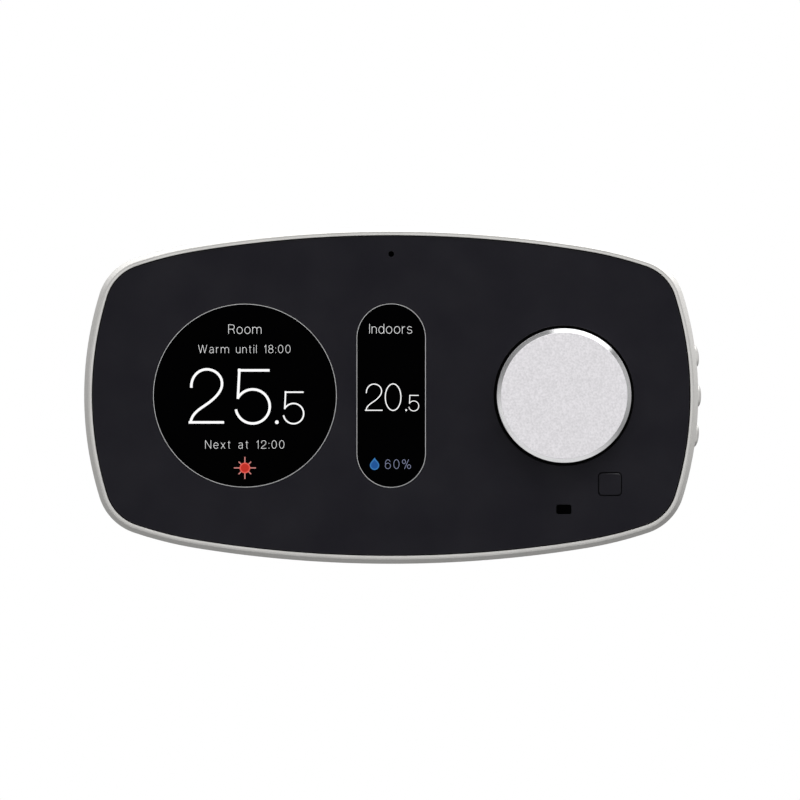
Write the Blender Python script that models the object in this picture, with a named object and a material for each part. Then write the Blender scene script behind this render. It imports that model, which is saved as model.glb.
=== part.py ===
"""Wall thermostat with a round and a slim display, a turn-and-push knob, three side buttons and a square key.

Frame: +X to the right, +Z up, and the front faces -Y. The wall is the plane Y = 0, and the origin lies on the
wall plate's back face, at the centre of the body. Lengths are in millimetres here. A depth is a distance from
the wall, so a point at depth 10 has Y = -10 mm.
"""

import math

import bmesh
import bpy

MM = 0.001

# Body outline: in each quarter a side arc, a corner arc, a shoulder arc and a top arc, each touching the next
HALF_WIDTH = 69.65
SIDE_RADIUS = 77.9
CORNER_RADIUS = 12.25
SHOULDER_RADIUS = 88.5
TOP_RADIUS = 276.5
SIDE_END = math.radians(17.25)
CORNER_END = math.radians(71.3)
SIDE_STEPS = 4
CORNER_STEPS = 6
SHOULDER_STEPS = 2
TOP_STEPS = 4

# Depths of the layers, measured from the wall
PLATE_FLOOR = 2.0
PLATE_RIM = 6.0
COVER_BACK = 1.0
COVER_WALL = 1.8
POCKET_FLOOR = 7.0
COVER_EDGE = 10.9
TONGUE_EDGE = 12.9
FRAME_BACK = 11.3
BOARD_BACK = 13.9
BOARD_FRONT = 15.5
LEDGE_BACK = 23.0
LEDGE_FRONT = 24.2
PANEL_BACK = 24.5
PANEL_FRONT = 26.0
FRAME_FRONT = 26.3
KNOB_FRONT = 30.0

GAP = 0.3  # between pieces that rest on each other
FRAME_WALL = 1.75
LEDGE_INSET = 3.9
PANEL_INSET = 1.98

# Wall plate
PLATE_HALF = (40.0, 27.0)
PLATE_CORNER = 7.0
PLATE_WALL = 1.6
PLATE_CLEARANCE = 0.8
WIRE_OPENING = (17.0, 7.0)
WIRE_OPENING_Z = 14.0
SCREW_SLOT = (4.6, 2.3)
SCREW_SLOT_X = 30.0

# Air slots
VENTS = 7
VENT_PITCH = 7.0

# Terminals
TERMINAL_PITCH = 5.08
TERMINALS = 3
BLOCK_X = 14.0
BLOCK_Z = -15.0
BLOCK_HALF = (8.5, 4.5)
BLOCK_FRONT = 6.6
SCREW_ROW_Z = 0.6
PIN_ROW_Z = -3.1
PIN_HALF = 0.45
SOCKET_HALF = 0.8

# Facets round a full circle
COARSE = 12
MEDIUM = 24
FINE = 48

# Displays
ROUND_X = -33.17
ROUND_RADIUS = 20.75
SLIM_HALF = (7.78, 20.8)
TRIM_WIDTH = 0.2
TRIM_GAP = 0.08
DISPLAY_BACK = 20.4
DISPLAY_MARGIN = 1.9

# Knob and encoder
KNOB_X = 39.15
KNOB_RADIUS = 15.2
KNOB_CHAMFER = 0.9
KNOB_GAP = 0.72
KNOB_SKIRT = 1.45
KNOB_BACK = 23.4
KNOB_TOP = 1.4
SHAFT_RADIUS = 3.0
SHAFT_FLAT = 1.5
WELL_RADIUS = 16.1
WELL_WALL = 1.2
WELL_FLOOR = 21.2
ENCODER_HALF = 6.2

# Side buttons, on the arc of the right-hand side
BUTTON_PITCH = 9.1
BUTTON_DEPTH = 18.6
BUTTON_HALF = (1.5, 2.55)
BUTTON_GAP = 0.25
BUTTON_PROUD = 0.9
DOME_RIM = 0.1
DOME_TURNS = (0, 20, 40, 60, 78)
BUTTON_FLANGE = 0.8
BUTTON_NAMES = ("lower", "middle", "upper")
SIDE_BOARD_X = 60.8
SIDE_SWITCH_FACE = 65.1
STEM_GAP = 0.7

# Small features of the front panel
KEY_AT = (49.6, -20.1)
KEY_HALF = 2.45
KEY_CORNER = 0.7
KEY_GAP = 0.25
WINDOW_AT = (KNOB_X, -25.8)
WINDOW_HALF = (1.65, 1.0)
WINDOW_CORNER = 0.25
SOUND_HOLE_Z = 32.1
SOUND_HOLE_RADIUS = 0.65

# Fasteners
BOSS_REACH = 5.85
BOSS_RADIUS = 2.9
CASE_SCREW_HEAD = 2.4
CASE_SCREW_SHANK = 1.25
BOARD_SCREW_AT = ((-20.0, 25.0), (20.0, -25.0))

# Main board
BOARD_INSET = 4.2
BOARD_HALF_WIDTH = 53.5

MATERIALS = {
    "silver_paint": ((0.64, 0.63, 0.60), 0.35, 0.6),
    "blasted_aluminium": ((0.80, 0.79, 0.81), 0.45, 1.0),
    "black_panel": ((0.016, 0.015, 0.019), 0.15, 0.0),
    "black_glass": ((0.002, 0.002, 0.002), 0.05, 0.0),
    "trim_metal": ((0.70, 0.70, 0.70), 0.25, 1.0),
    "white_plastic": ((0.82, 0.82, 0.80), 0.50, 0.0),
    "black_plastic": ((0.02, 0.02, 0.02), 0.50, 0.0),
    "display_frame": ((0.60, 0.60, 0.62), 0.40, 0.0),
    "board_green": ((0.01, 0.10, 0.05), 0.45, 0.0),
    "chip_black": ((0.02, 0.02, 0.02), 0.35, 0.0),
    "shield_steel": ((0.60, 0.60, 0.58), 0.30, 1.0),
    "relay_blue": ((0.03, 0.12, 0.45), 0.40, 0.0),
    "contact_brass": ((0.75, 0.55, 0.25), 0.30, 1.0),
    "zinc": ((0.55, 0.56, 0.57), 0.40, 1.0),
    "terminal_green": ((0.03, 0.30, 0.10), 0.50, 0.0),
    "flex_amber": ((0.45, 0.20, 0.03), 0.40, 0.0),
    "rubber": ((0.03, 0.03, 0.03), 0.80, 0.0),
}


# Outlines, as lists of (x, z) points that run counter-clockwise seen from the front


def arc(centre, radius, start, end, steps):
    """Points along an arc, its end left out."""
    angles = [start + (end - start) * i / steps for i in range(steps)]
    return [(centre[0] + radius * math.cos(a), centre[1] + radius * math.sin(a)) for a in angles]


def outline_arcs():
    """Each arc of the upper right quarter, from the right round to the top: centre, radius and angles."""
    side = (HALF_WIDTH - SIDE_RADIUS, 0.0)
    reach = SIDE_RADIUS - CORNER_RADIUS
    corner = (side[0] + reach * math.cos(SIDE_END), reach * math.sin(SIDE_END))
    reach = SHOULDER_RADIUS - CORNER_RADIUS
    shoulder = (corner[0] - reach * math.cos(CORNER_END), corner[1] - reach * math.sin(CORNER_END))
    reach = TOP_RADIUS - SHOULDER_RADIUS
    shoulder_end = math.acos(shoulder[0] / reach)
    top = (0.0, shoulder[1] - reach * math.sin(shoulder_end))
    return [
        (side, SIDE_RADIUS, 0.0, SIDE_END, SIDE_STEPS),
        (corner, CORNER_RADIUS, SIDE_END, CORNER_END, CORNER_STEPS),
        (shoulder, SHOULDER_RADIUS, CORNER_END, shoulder_end, SHOULDER_STEPS),
        (top, TOP_RADIUS, shoulder_end, math.pi / 2, TOP_STEPS),
    ]


def corner_centre():
    return outline_arcs()[1][0]


def outline(inset):
    """The body's outline, moved inwards by inset."""
    quarter = []
    for centre, radius, start, end, steps in outline_arcs():
        quarter += arc(centre, radius - inset, start, end, steps)
    quarter.append((0.0, centre[1] + radius - inset))
    loop = quarter[:-1]
    loop += [(-x, z) for x, z in reversed(quarter)][:-1]
    loop += [(-x, -z) for x, z in quarter][:-1]
    loop += [(x, -z) for x, z in reversed(quarter)][:-1]
    return loop


def circle(radius, count=MEDIUM):
    return arc((0.0, 0.0), radius, 0.0, 2 * math.pi, count)


def rounded(half_x, half_z, radius, steps=3):
    """A rectangle with round corners."""
    loop = []
    for quarter, (sx, sz) in enumerate(((1, 1), (-1, 1), (-1, -1), (1, -1))):
        centre = (sx * (half_x - radius), sz * (half_z - radius))
        start = quarter * math.pi / 2
        loop += arc(centre, radius, start, start + math.pi / 2, steps)
        end = start + math.pi / 2
        loop.append((centre[0] + radius * math.cos(end), centre[1] + radius * math.sin(end)))
    return loop


def pill(half_x, half_z, steps=FINE // 4):
    """An upright shape with straight sides and half-round ends."""
    reach = half_z - half_x
    loop = arc((0.0, reach), half_x, 0.0, math.pi, steps) + [(-half_x, reach)]
    loop += arc((0.0, -reach), half_x, math.pi, 2 * math.pi, steps) + [(half_x, -reach)]
    return loop


def rectangle(half_x, half_z):
    return [(half_x, half_z), (-half_x, half_z), (-half_x, -half_z), (half_x, -half_z)]


def flattened(loop, low_x=-math.inf, high_x=math.inf, limit_z=math.inf):
    """The loop with its points held between two X values, and within limit_z of the middle."""
    return [(max(low_x, min(high_x, x)), max(-limit_z, min(limit_z, z))) for x, z in loop]


def moved(loop, dx, dz):
    return [(x + dx, z + dz) for x, z in loop]


# Solids


def add_body(mesh, sections, cyclic=False):
    """Skins a closed body over a stack of (loop, depth) sections, capped at both ends unless it is cyclic."""
    rings = []
    for loop, depth in sections:
        rings.append([mesh.verts.new((x * MM, -depth * MM, z * MM)) for x, z in loop])
    pairs = list(zip(rings, rings[1:]))
    if cyclic:
        pairs.append((rings[-1], rings[0]))
    count = len(rings[0])
    for low, high in pairs:
        for i in range(count):
            j = (i + 1) % count
            mesh.faces.new((low[i], low[j], high[j], high[i]))
    if not cyclic:
        mesh.faces.new(rings[0])
        mesh.faces.new(rings[-1])


def material(name):
    found = bpy.data.materials.get(name)
    if found:
        return found
    colour, roughness, metallic = MATERIALS[name]
    made = bpy.data.materials.new(name)
    made.use_nodes = True
    shader = made.node_tree.nodes["Principled BSDF"]
    shader.inputs["Base Color"].default_value = (*colour, 1.0)
    shader.inputs["Roughness"].default_value = roughness
    shader.inputs["Metallic"].default_value = metallic
    return made


def solid(name, bodies, finish=None, at=(0.0, 0.0), parent=None, cyclic=False, bevel=0.0):
    """One object made of skinned bodies, placed at (x, z) from its parent's origin or the scene's."""
    mesh = bmesh.new()
    for sections in bodies:
        add_body(mesh, sections, cyclic)
    bmesh.ops.recalc_face_normals(mesh, faces=mesh.faces)
    data = bpy.data.meshes.new(name)
    mesh.to_mesh(data)
    mesh.free()
    data.shade_smooth()
    data.set_sharp_from_angle(angle=math.radians(30))
    made = bpy.data.objects.new(name, data)
    bpy.context.scene.collection.objects.link(made)
    made.location = (at[0] * MM, 0.0, at[1] * MM)
    if finish:
        data.materials.append(material(finish))
    if parent:
        made.parent = parent
    if bevel:
        edge = made.modifiers.new("edges", "BEVEL")
        edge.width = bevel * MM
        edge.segments = 1
        edge.limit_method = "ANGLE"
        edge.angle_limit = math.radians(50)
    return made


def block(name, half_x, half_z, back, front, finish=None, at=(0.0, 0.0), bevel=0.0, **places):
    """A rectangular piece between two depths."""
    loop = rectangle(half_x, half_z)
    return solid(name, [[(loop, back), (loop, front)]], finish, at, bevel=bevel, **places)


def turned(name, profile, finish=None, at=(0.0, 0.0), count=MEDIUM, **places):
    """A round piece about a line along Y, from (radius, depth) pairs."""
    return solid(name, [[(circle(r, count), d) for r, d in profile]], finish, at, **places)


def change(target, tool, operation):
    """Cuts the tool from the target, or joins it on, and hides the tool."""
    tool.hide_render = True
    tool.display_type = "WIRE"
    modifier = target.modifiers.new(tool.name, "BOOLEAN")
    modifier.operation = operation
    modifier.object = tool


def cut(target, tool):
    change(target, tool, "DIFFERENCE")


def join(target, tool):
    change(target, tool, "UNION")


def pivot(name, x, z, depth=0.0, turn=0.0):
    """An empty on a joint's axis, turned about Y, which the moving pieces are parented to."""
    made = bpy.data.objects.new(name, None)
    bpy.context.scene.collection.objects.link(made)
    made.location = (x * MM, -depth * MM, z * MM)
    made.rotation_euler = (0.0, turn, 0.0)
    return made


def corner_points():
    """Where the four case screws stand, on the diagonals of the corner arcs."""
    cx, cz = corner_centre()
    step = BOSS_REACH / math.sqrt(2)
    return [(sx * (cx + step), sz * (cz + step)) for sx in (-1, 1) for sz in (-1, 1)]


# Wall side


def make_wall_plate():
    """A tray screwed to the wall. Wires enter through its opening, and the unit clips over its rim."""
    outer = rounded(*PLATE_HALF, PLATE_CORNER)
    inner = rounded(PLATE_HALF[0] - PLATE_WALL, PLATE_HALF[1] - PLATE_WALL, PLATE_CORNER - PLATE_WALL)
    tray = [(outer, 0.0), (outer, PLATE_RIM), (inner, PLATE_RIM), (inner, PLATE_FLOOR)]
    plate = solid("wall_plate", [tray], "white_plastic")

    seat_half = (SCREW_SLOT[0] + 2.0, SCREW_SLOT[1] + 2.0)
    catch = rectangle(5.0, 0.5)
    catch_z = PLATE_HALF[1]
    additions = []
    for side in (-1, 1):
        seat = moved(rounded(*seat_half, seat_half[1] - 0.1), side * SCREW_SLOT_X, 0.0)
        additions.append([(seat, PLATE_FLOOR - 0.5), (seat, PLATE_FLOOR + 1.0)])
        for x in (-24.0, 24.0):
            additions.append([(moved(catch, x, side * catch_z), 3.6), (moved(catch, x, side * catch_z), 4.8)])
    join(plate, solid("wall_plate_seats", additions))

    cuts = []
    opening = moved(rounded(*WIRE_OPENING, 3.0), 0.0, WIRE_OPENING_Z)
    cuts.append([(opening, -1.0), (opening, PLATE_FLOOR + 1.0)])
    for side in (-1, 1):
        slot = moved(rounded(*SCREW_SLOT, SCREW_SLOT[1] - 0.05), side * SCREW_SLOT_X, 0.0)
        cuts.append([(slot, -1.0), (slot, PLATE_FLOOR + 2.0)])
    cut(plate, solid("wall_plate_holes", cuts))


def terminal_columns():
    return [(i - (TERMINALS - 1) / 2) * TERMINAL_PITCH for i in range(TERMINALS)]


def make_terminal_block(side, x):
    """Screw terminals: a well for each screw, a wire hole from above and a socket for each pin."""
    place = (x, BLOCK_Z)
    back = PLATE_FLOOR + GAP
    made = block(f"terminal_block_{side}", *BLOCK_HALF, back, BLOCK_FRONT, "terminal_green", place)
    wells = []
    sockets = []
    for column in terminal_columns():
        well = moved(circle(1.95, COARSE), column, SCREW_ROW_Z)
        wells.append([(well, 4.3), (well, BLOCK_FRONT + 1.0)])
        socket = moved(rectangle(SOCKET_HALF, SOCKET_HALF), column, PIN_ROW_Z)
        sockets.append([(socket, 3.2), (socket, BLOCK_FRONT + 1.0)])
    cut(made, solid(f"wells_{side}", wells, at=place))
    cut(made, solid(f"sockets_{side}", sockets, at=place))
    for number, column in enumerate(terminal_columns(), 1):
        hole = turned(f"wire_hole_{side}_{number}", [(1.25, 0.0), (1.25, 5.0)], count=8)
        hole.rotation_euler = (-math.pi / 2, 0.0, 0.0)
        hole.location = ((x + column) * MM, -4.3 * MM, (BLOCK_Z + SCREW_ROW_Z) * MM)
        cut(made, hole)
        make_terminal_screw(f"terminal_screw_{side}_{number}", (x + column, BLOCK_Z + SCREW_ROW_Z))


def make_terminal_screw(name, place):
    """A slotted screw that lies in its well."""
    rim = circle(1.65, COARSE)
    slot = flattened(circle(1.35, COARSE), limit_z=0.3)
    shape = [(rim, 4.6), (rim, 6.2), (circle(1.5, COARSE), 6.4), (slot, 6.4), (slot, 5.7)]
    solid(name, [shape], "zinc", place)


# Case


def make_rear_cover():
    """The unit's back: a bowl with a raised pocket that takes the wall plate, screw bosses and air slots."""
    inner_inset = 3.4
    bowl = [
        (outline(2.8), COVER_BACK),
        (outline(1.2), COVER_BACK + 0.5),
        (outline(0.3), COVER_BACK + 1.7),
        (outline(0.0), COVER_BACK + 3.4),
        (outline(0.0), COVER_EDGE),
        (outline(FRAME_WALL + GAP), COVER_EDGE),
        (outline(FRAME_WALL + GAP), TONGUE_EDGE),
        (outline(inner_inset), TONGUE_EDGE),
        (outline(inner_inset), COVER_BACK + COVER_WALL),
    ]
    cover = solid("rear_cover", [bowl], "white_plastic")

    pocket_half = (PLATE_HALF[0] + PLATE_CLEARANCE, PLATE_HALF[1] + PLATE_CLEARANCE)
    island = rounded(pocket_half[0] + COVER_WALL, pocket_half[1] + COVER_WALL, PLATE_CORNER + COVER_WALL)
    top = POCKET_FLOOR + COVER_WALL
    join(cover, solid("cover_island", [[(island, COVER_BACK + 0.6), (island, top)]]))
    bosses = []
    for place in corner_points():
        boss = moved(circle(3.6, COARSE), *place)
        bosses.append([(boss, COVER_BACK + 0.9), (boss, COVER_EDGE - 0.5)])
    for place in BOARD_SCREW_AT:
        boss = moved(circle(2.4, COARSE), *place)
        bosses.append([(boss, top - 0.6), (boss, BOARD_BACK - GAP)])
    join(cover, solid("cover_bosses", bosses))

    pocket = rounded(*pocket_half, PLATE_CORNER + PLATE_CLEARANCE)
    cut(cover, solid("cover_pocket", [[(pocket, 0.0), (pocket, POCKET_FLOOR)]]))
    holes = []
    for place in corner_points():
        head = moved(circle(CASE_SCREW_HEAD + GAP, COARSE), *place)
        shank = moved(circle(CASE_SCREW_SHANK + GAP, COARSE), *place)
        holes.append([(head, 0.0), (head, 8.9), (shank, 8.9), (shank, 12.0)])
    for x, z in BOARD_SCREW_AT:
        pilot = moved(circle(1.2, 8), x, z)
        holes.append([(pilot, top + 0.6), (pilot, BOARD_BACK)])
    for x in (-BLOCK_X, BLOCK_X):
        window = moved(rectangle(9.3, 2.4), x, BLOCK_Z + PIN_ROW_Z)
        holes.append([(window, POCKET_FLOOR - 1.0), (window, top + 1.0)])
    cut(cover, solid("cover_holes", holes))
    cut(cover, solid("cover_vents", vent_slots()))


def vent_slots():
    """Slots through the upper and the lower wall, for the air that the humidity sensor measures."""
    slots = []
    for side in (-1, 1):
        for i in range(VENTS):
            slot = moved(rectangle(0.8, 4.5), (i - (VENTS - 1) / 2) * VENT_PITCH, side * 37.0)
            slots.append([(slot, 5.6), (slot, 9.6)])
    return slots


def make_front_frame(side_axes):
    """The silver frame: its rounded rim shows all round the panel, and a ledge inside carries the panel."""
    rim = [
        (outline(0.0), FRAME_BACK),
        (outline(0.0), 25.2),
        (outline(0.1), 25.45),
        (outline(0.78), 25.95),
        (outline(1.15), 26.17),
        (outline(1.5), FRAME_FRONT),
        (outline(FRAME_WALL), 26.2),
        (outline(FRAME_WALL), LEDGE_FRONT),
        (outline(LEDGE_INSET), LEDGE_FRONT),
        (outline(LEDGE_INSET), LEDGE_BACK),
        (outline(FRAME_WALL), LEDGE_BACK - 0.8),
        (outline(FRAME_WALL), FRAME_BACK),
    ]
    frame = solid("front_frame", [rim], "silver_paint", cyclic=True)

    posts = []
    for place in corner_points():
        post = moved(circle(BOSS_RADIUS, COARSE), *place)
        posts.append([(post, COVER_EDGE - 0.1), (post, LEDGE_FRONT - 0.5)])
    join(frame, solid("frame_posts", posts))
    for number, (x, z) in enumerate(corner_points(), 1):
        outwards = (x + math.copysign(2.2, x), z + math.copysign(2.2, z))
        rib = block(f"frame_rib_{number}", 2.6, 0.6, 14.0, LEDGE_FRONT - 0.6, at=outwards)
        rib.rotation_euler = (0.0, -math.copysign(math.pi / 4, x * z), 0.0)
        join(frame, rib)
    rails = []
    for z in (-15.4, 15.4):
        rail = moved(rectangle(4.0, 0.75), 63.5, z)
        rails.append([(rail, 14.6), (rail, 22.6)])
    join(frame, solid("frame_rails", rails))

    pilots = []
    for place in corner_points():
        pilot = moved(circle(CASE_SCREW_SHANK + 0.2, COARSE), *place)
        pilots.append([(pilot, 9.0), (pilot, 17.6)])
    cut(frame, solid("frame_pilots", pilots))
    for name, _, axis in side_axes:
        hole = [(button_loop(BUTTON_GAP), SIDE_RADIUS - 5.0), (button_loop(BUTTON_GAP), SIDE_RADIUS + 3.0)]
        cut(frame, side_stack(f"button_hole_{name}", hole, axis))


# Front


def make_front_panel():
    edge = [
        (outline(PANEL_INSET), PANEL_BACK),
        (outline(PANEL_INSET), PANEL_FRONT - 0.15),
        (outline(PANEL_INSET + 0.15), PANEL_FRONT),
    ]
    panel = solid("front_panel", [edge], "black_panel")
    opening = TRIM_WIDTH / 2 + TRIM_GAP
    loops = [
        moved(circle(ROUND_RADIUS + opening, FINE), ROUND_X, 0.0),
        pill(SLIM_HALF[0] + opening, SLIM_HALF[1] + opening),
        moved(circle(KNOB_RADIUS + KNOB_GAP, FINE), KNOB_X, 0.0),
        moved(rounded(KEY_HALF + KEY_GAP, KEY_HALF + KEY_GAP, KEY_CORNER + KEY_GAP), *KEY_AT),
        moved(rounded(WINDOW_HALF[0] + 0.08, WINDOW_HALF[1] + 0.08, WINDOW_CORNER + 0.08, 2), *WINDOW_AT),
        moved(circle(SOUND_HOLE_RADIUS, COARSE), 0.0, SOUND_HOLE_Z),
    ]
    cutters = [[(loop, PANEL_BACK - 1.0), (loop, PANEL_FRONT + 1.0)] for loop in loops]
    cut(panel, solid("panel_openings", cutters))


def make_window(name, loop_at, place):
    """A display window: a thin trim ring in the panel's opening, the lens inside it and the module behind."""
    trim_out = loop_at(TRIM_WIDTH / 2)
    trim_in = loop_at(-TRIM_WIDTH / 2)
    lens = loop_at(-TRIM_WIDTH / 2 - TRIM_GAP)
    back = PANEL_BACK + 0.1
    front = PANEL_FRONT + 0.04
    ring = [(trim_out, back), (trim_out, front), (trim_in, front), (trim_in, back)]
    solid(f"{name}_window_trim", [ring], "trim_metal", place, cyclic=True)
    solid(f"{name}_lens", [[(lens, PANEL_BACK), (lens, PANEL_FRONT - 0.04)]], "black_glass", place)
    module = loop_at(DISPLAY_MARGIN)
    glass = loop_at(DISPLAY_MARGIN - 0.8)
    stack = [(module, DISPLAY_BACK), (module, 23.0), (glass, 23.0), (glass, PANEL_BACK - GAP)]
    solid(f"{name}_display", [stack], "display_frame", place)


def make_displays():
    make_window("round", lambda grow: circle(ROUND_RADIUS + grow, FINE), (ROUND_X, 0.0))
    make_window("slim", lambda grow: pill(SLIM_HALF[0] + grow, SLIM_HALF[1] + grow), (0.0, 0.0))
    for name, x in (("round", ROUND_X), ("slim", 0.0)):
        make_flex(name, x)
        block(f"{name}_flex_connector", 7.0, 2.0, BOARD_FRONT + GAP, 18.2, "chip_black", (x, -15.9))


def make_flex(name, x):
    """The flat cable that leaves a display's lower edge, turns back and lies on its connector."""
    half_width = 5.0
    half_thickness = 0.15
    bend = 1.9
    path = [(-SLIM_HALF[1] - DISPLAY_MARGIN - GAP, 21.2), (-24.6, 21.2)]
    bend_centre = (-24.6, 21.2 - bend)
    for i in range(1, 9):
        angle = math.pi / 2 + i * math.pi / 8
        path.append((bend_centre[0] + bend * math.cos(angle), bend_centre[1] + bend * math.sin(angle)))
    path.append((-18.2, 21.2 - 2 * bend))
    mesh = bmesh.new()
    rings = []
    for i, (z, depth) in enumerate(path):
        before = path[max(i - 1, 0)]
        after = path[min(i + 1, len(path) - 1)]
        length = math.dist(before, after)
        normal = (-(after[1] - before[1]) / length, (after[0] - before[0]) / length)
        ring = []
        for sx, sn in ((1, 1), (-1, 1), (-1, -1), (1, -1)):
            ring_z = z + sn * half_thickness * normal[0]
            ring_depth = depth + sn * half_thickness * normal[1]
            ring.append(mesh.verts.new((sx * half_width * MM, -ring_depth * MM, ring_z * MM)))
        rings.append(ring)
    for low, high in zip(rings, rings[1:]):
        for i in range(4):
            j = (i + 1) % 4
            mesh.faces.new((low[i], low[j], high[j], high[i]))
    mesh.faces.new(rings[0])
    mesh.faces.new(rings[-1])
    bmesh.ops.recalc_face_normals(mesh, faces=mesh.faces)
    data = bpy.data.meshes.new(f"{name}_display_flex")
    mesh.to_mesh(data)
    mesh.free()
    data.materials.append(material("flex_amber"))
    made = bpy.data.objects.new(f"{name}_display_flex", data)
    bpy.context.scene.collection.objects.link(made)
    made.location = (x * MM, 0.0, 0.0)


def make_sensor_window():
    """A dark light pipe that fills the slot under the knob and ends over the light sensor."""
    head = rounded(*WINDOW_HALF, WINDOW_CORNER, 2)
    rod = rounded(WINDOW_HALF[0] - 0.3, WINDOW_HALF[1] - 0.2, WINDOW_CORNER, 2)
    pipe = [(rod, 17.4), (rod, PANEL_BACK), (head, PANEL_BACK), (head, PANEL_FRONT - 0.1)]
    solid("sensor_window", [pipe], "black_glass", WINDOW_AT)
    block("light_sensor", 1.1, 1.1, BOARD_FRONT + GAP, 16.8, "chip_black", WINDOW_AT, bevel=0.1)


def make_microphone():
    """A microphone on the board, and the rubber tube that leads sound to it from the panel's hole."""
    place = (0.0, SOUND_HOLE_Z)
    bore = SOUND_HOLE_RADIUS + 0.1
    foot = BOARD_FRONT + GAP
    tube = [(2.3, foot), (2.3, 17.6), (1.6, 18.2), (1.6, PANEL_BACK - GAP)]
    tube += [(bore, PANEL_BACK - GAP), (bore, 17.1), (1.8, 17.1), (1.8, foot)]
    sections = [(circle(radius, COARSE), depth) for radius, depth in tube]
    solid("microphone_tube", [sections], "rubber", place, cyclic=True)
    block("microphone", 1.3, 0.9, foot, foot + 0.9, "shield_steel", place)


def make_key():
    """The square key, its flange behind the panel, its stem, and the switch under it."""
    cap = rounded(KEY_HALF, KEY_HALF, KEY_CORNER)
    edge = rounded(KEY_HALF - 0.12, KEY_HALF - 0.12, KEY_CORNER - 0.1)
    flange = rounded(3.3, 3.3, KEY_CORNER)
    stem = rounded(1.5, 1.5, 0.4)
    shape = [
        (stem, 20.4),
        (stem, 23.0),
        (flange, 23.0),
        (flange, PANEL_BACK - GAP),
        (cap, PANEL_BACK - GAP),
        (cap, PANEL_FRONT - 0.08),
        (edge, PANEL_FRONT + 0.02),
    ]
    axis = pivot("key_axis", *KEY_AT)
    solid("square_key", [shape], "black_panel", parent=axis)
    make_switch("key_switch", 3.0, 19.9, KEY_AT)


def make_switch(name, half, top, place):
    """A tactile switch that stands on the main board."""
    base = rectangle(half, half)
    dome = rectangle(half * 0.5, half * 0.5)
    body_top = top - 0.6
    stack = [(base, BOARD_FRONT + GAP), (base, body_top), (dome, body_top), (dome, top)]
    solid(name, [stack], "chip_black", place)


# Knob


def make_knob():
    """The turning pieces: a hollow aluminium cap, the hub inside it and the encoder's shaft."""
    axis = pivot("knob_axis", KNOB_X, 0.0)
    top = KNOB_RADIUS - KNOB_CHAMFER
    inside = KNOB_RADIUS - KNOB_SKIRT
    cap = [
        (circle(inside, FINE), KNOB_FRONT - KNOB_TOP),
        (circle(inside, FINE), KNOB_BACK),
        (circle(KNOB_RADIUS - 0.2, FINE), KNOB_BACK),
        (circle(KNOB_RADIUS, FINE), KNOB_BACK + 0.2),
        (circle(KNOB_RADIUS, FINE), KNOB_FRONT - KNOB_CHAMFER),
        (circle(top, FINE), KNOB_FRONT),
    ]
    solid("knob_cap", [cap], "blasted_aluminium", parent=axis)

    boss = 5.6
    plate_back = 26.4
    plate_front = KNOB_FRONT - KNOB_TOP - GAP
    bore = flattened(circle(SHAFT_RADIUS + 0.15), high_x=SHAFT_FLAT + 0.15)
    hub = [
        (circle(inside - GAP), plate_front),
        (circle(inside - GAP), plate_back),
        (circle(boss), plate_back),
        (circle(boss), 25.2),
        (bore, 25.2),
        (bore, plate_front - 0.5),
    ]
    solid("knob_hub", [hub], "black_plastic", parent=axis)

    round_part = circle(SHAFT_RADIUS)
    flat_part = flattened(round_part, high_x=SHAFT_FLAT)
    shaft = [
        (circle(2.0), 18.0),
        (circle(2.0), 18.5),
        (circle(4.6), 18.5),
        (circle(4.6), 19.3),
        (round_part, 19.3),
        (round_part, 25.0),
        (flat_part, 25.0),
        (flat_part, plate_front - 0.8),
    ]
    solid("encoder_shaft", [shaft], "zinc", parent=axis)


def make_encoder():
    """The fixed pieces of the encoder, and the plunger that the shaft pushes when the knob is pressed."""
    place = (KNOB_X, 0.0)
    body = block("encoder_body", ENCODER_HALF, ENCODER_HALF, BOARD_FRONT + GAP, 19.7, "black_plastic", place)
    cut(body, turned("encoder_bore", [(5.0, 17.8), (5.0, 21.0)], at=place))
    cut(body, block("plunger_well", 3.0, 3.0, 16.2, 18.4, at=place))
    axis = pivot("plunger_axis", *place)
    block("encoder_plunger", 2.5, 2.5, 16.9, 17.7, "black_plastic", parent=axis)

    plate = block("encoder_bushing", ENCODER_HALF, ENCODER_HALF, 20.0, 20.9, "zinc", place)
    join(plate, turned("bushing_tube", [(3.9, 20.4), (3.9, 24.3)], at=place))
    cut(plate, turned("bushing_bore", [(SHAFT_RADIUS + 0.2, 19.0), (SHAFT_RADIUS + 0.2, 25.0)], at=place))
    nut = turned("encoder_nut", [(5.8, 22.6), (5.8, 24.0)], "contact_brass", place, count=6)
    cut(nut, turned("nut_bore", [(4.05, 22.0), (4.05, 25.0)], at=place))

    hole = 4.1
    well = [
        (hole, WELL_FLOOR),
        (WELL_RADIUS + WELL_WALL, WELL_FLOOR),
        (WELL_RADIUS + WELL_WALL, LEDGE_FRONT),
        (WELL_RADIUS, LEDGE_FRONT),
        (WELL_RADIUS, WELL_FLOOR + 1.1),
        (hole, WELL_FLOOR + 1.1),
    ]
    sections = [(circle(radius, MEDIUM), depth) for radius, depth in well]
    solid("knob_well", [sections], "black_plastic", place, cyclic=True)


# Side buttons


def make_side_axes():
    """Each side button's name, its angle about the side arc's centre, and an empty there, turned to it."""
    axes = []
    for step, name in enumerate(BUTTON_NAMES):
        angle = math.asin((step - 1) * BUTTON_PITCH / SIDE_RADIUS)
        centre_x = HALF_WIDTH - SIDE_RADIUS
        axes.append((name, angle, pivot(f"side_axis_{name}", centre_x, 0.0, BUTTON_DEPTH, -angle)))
    return axes


def button_loop(grow):
    return pill(BUTTON_HALF[0] + grow, BUTTON_HALF[1] + grow, 6)


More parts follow.
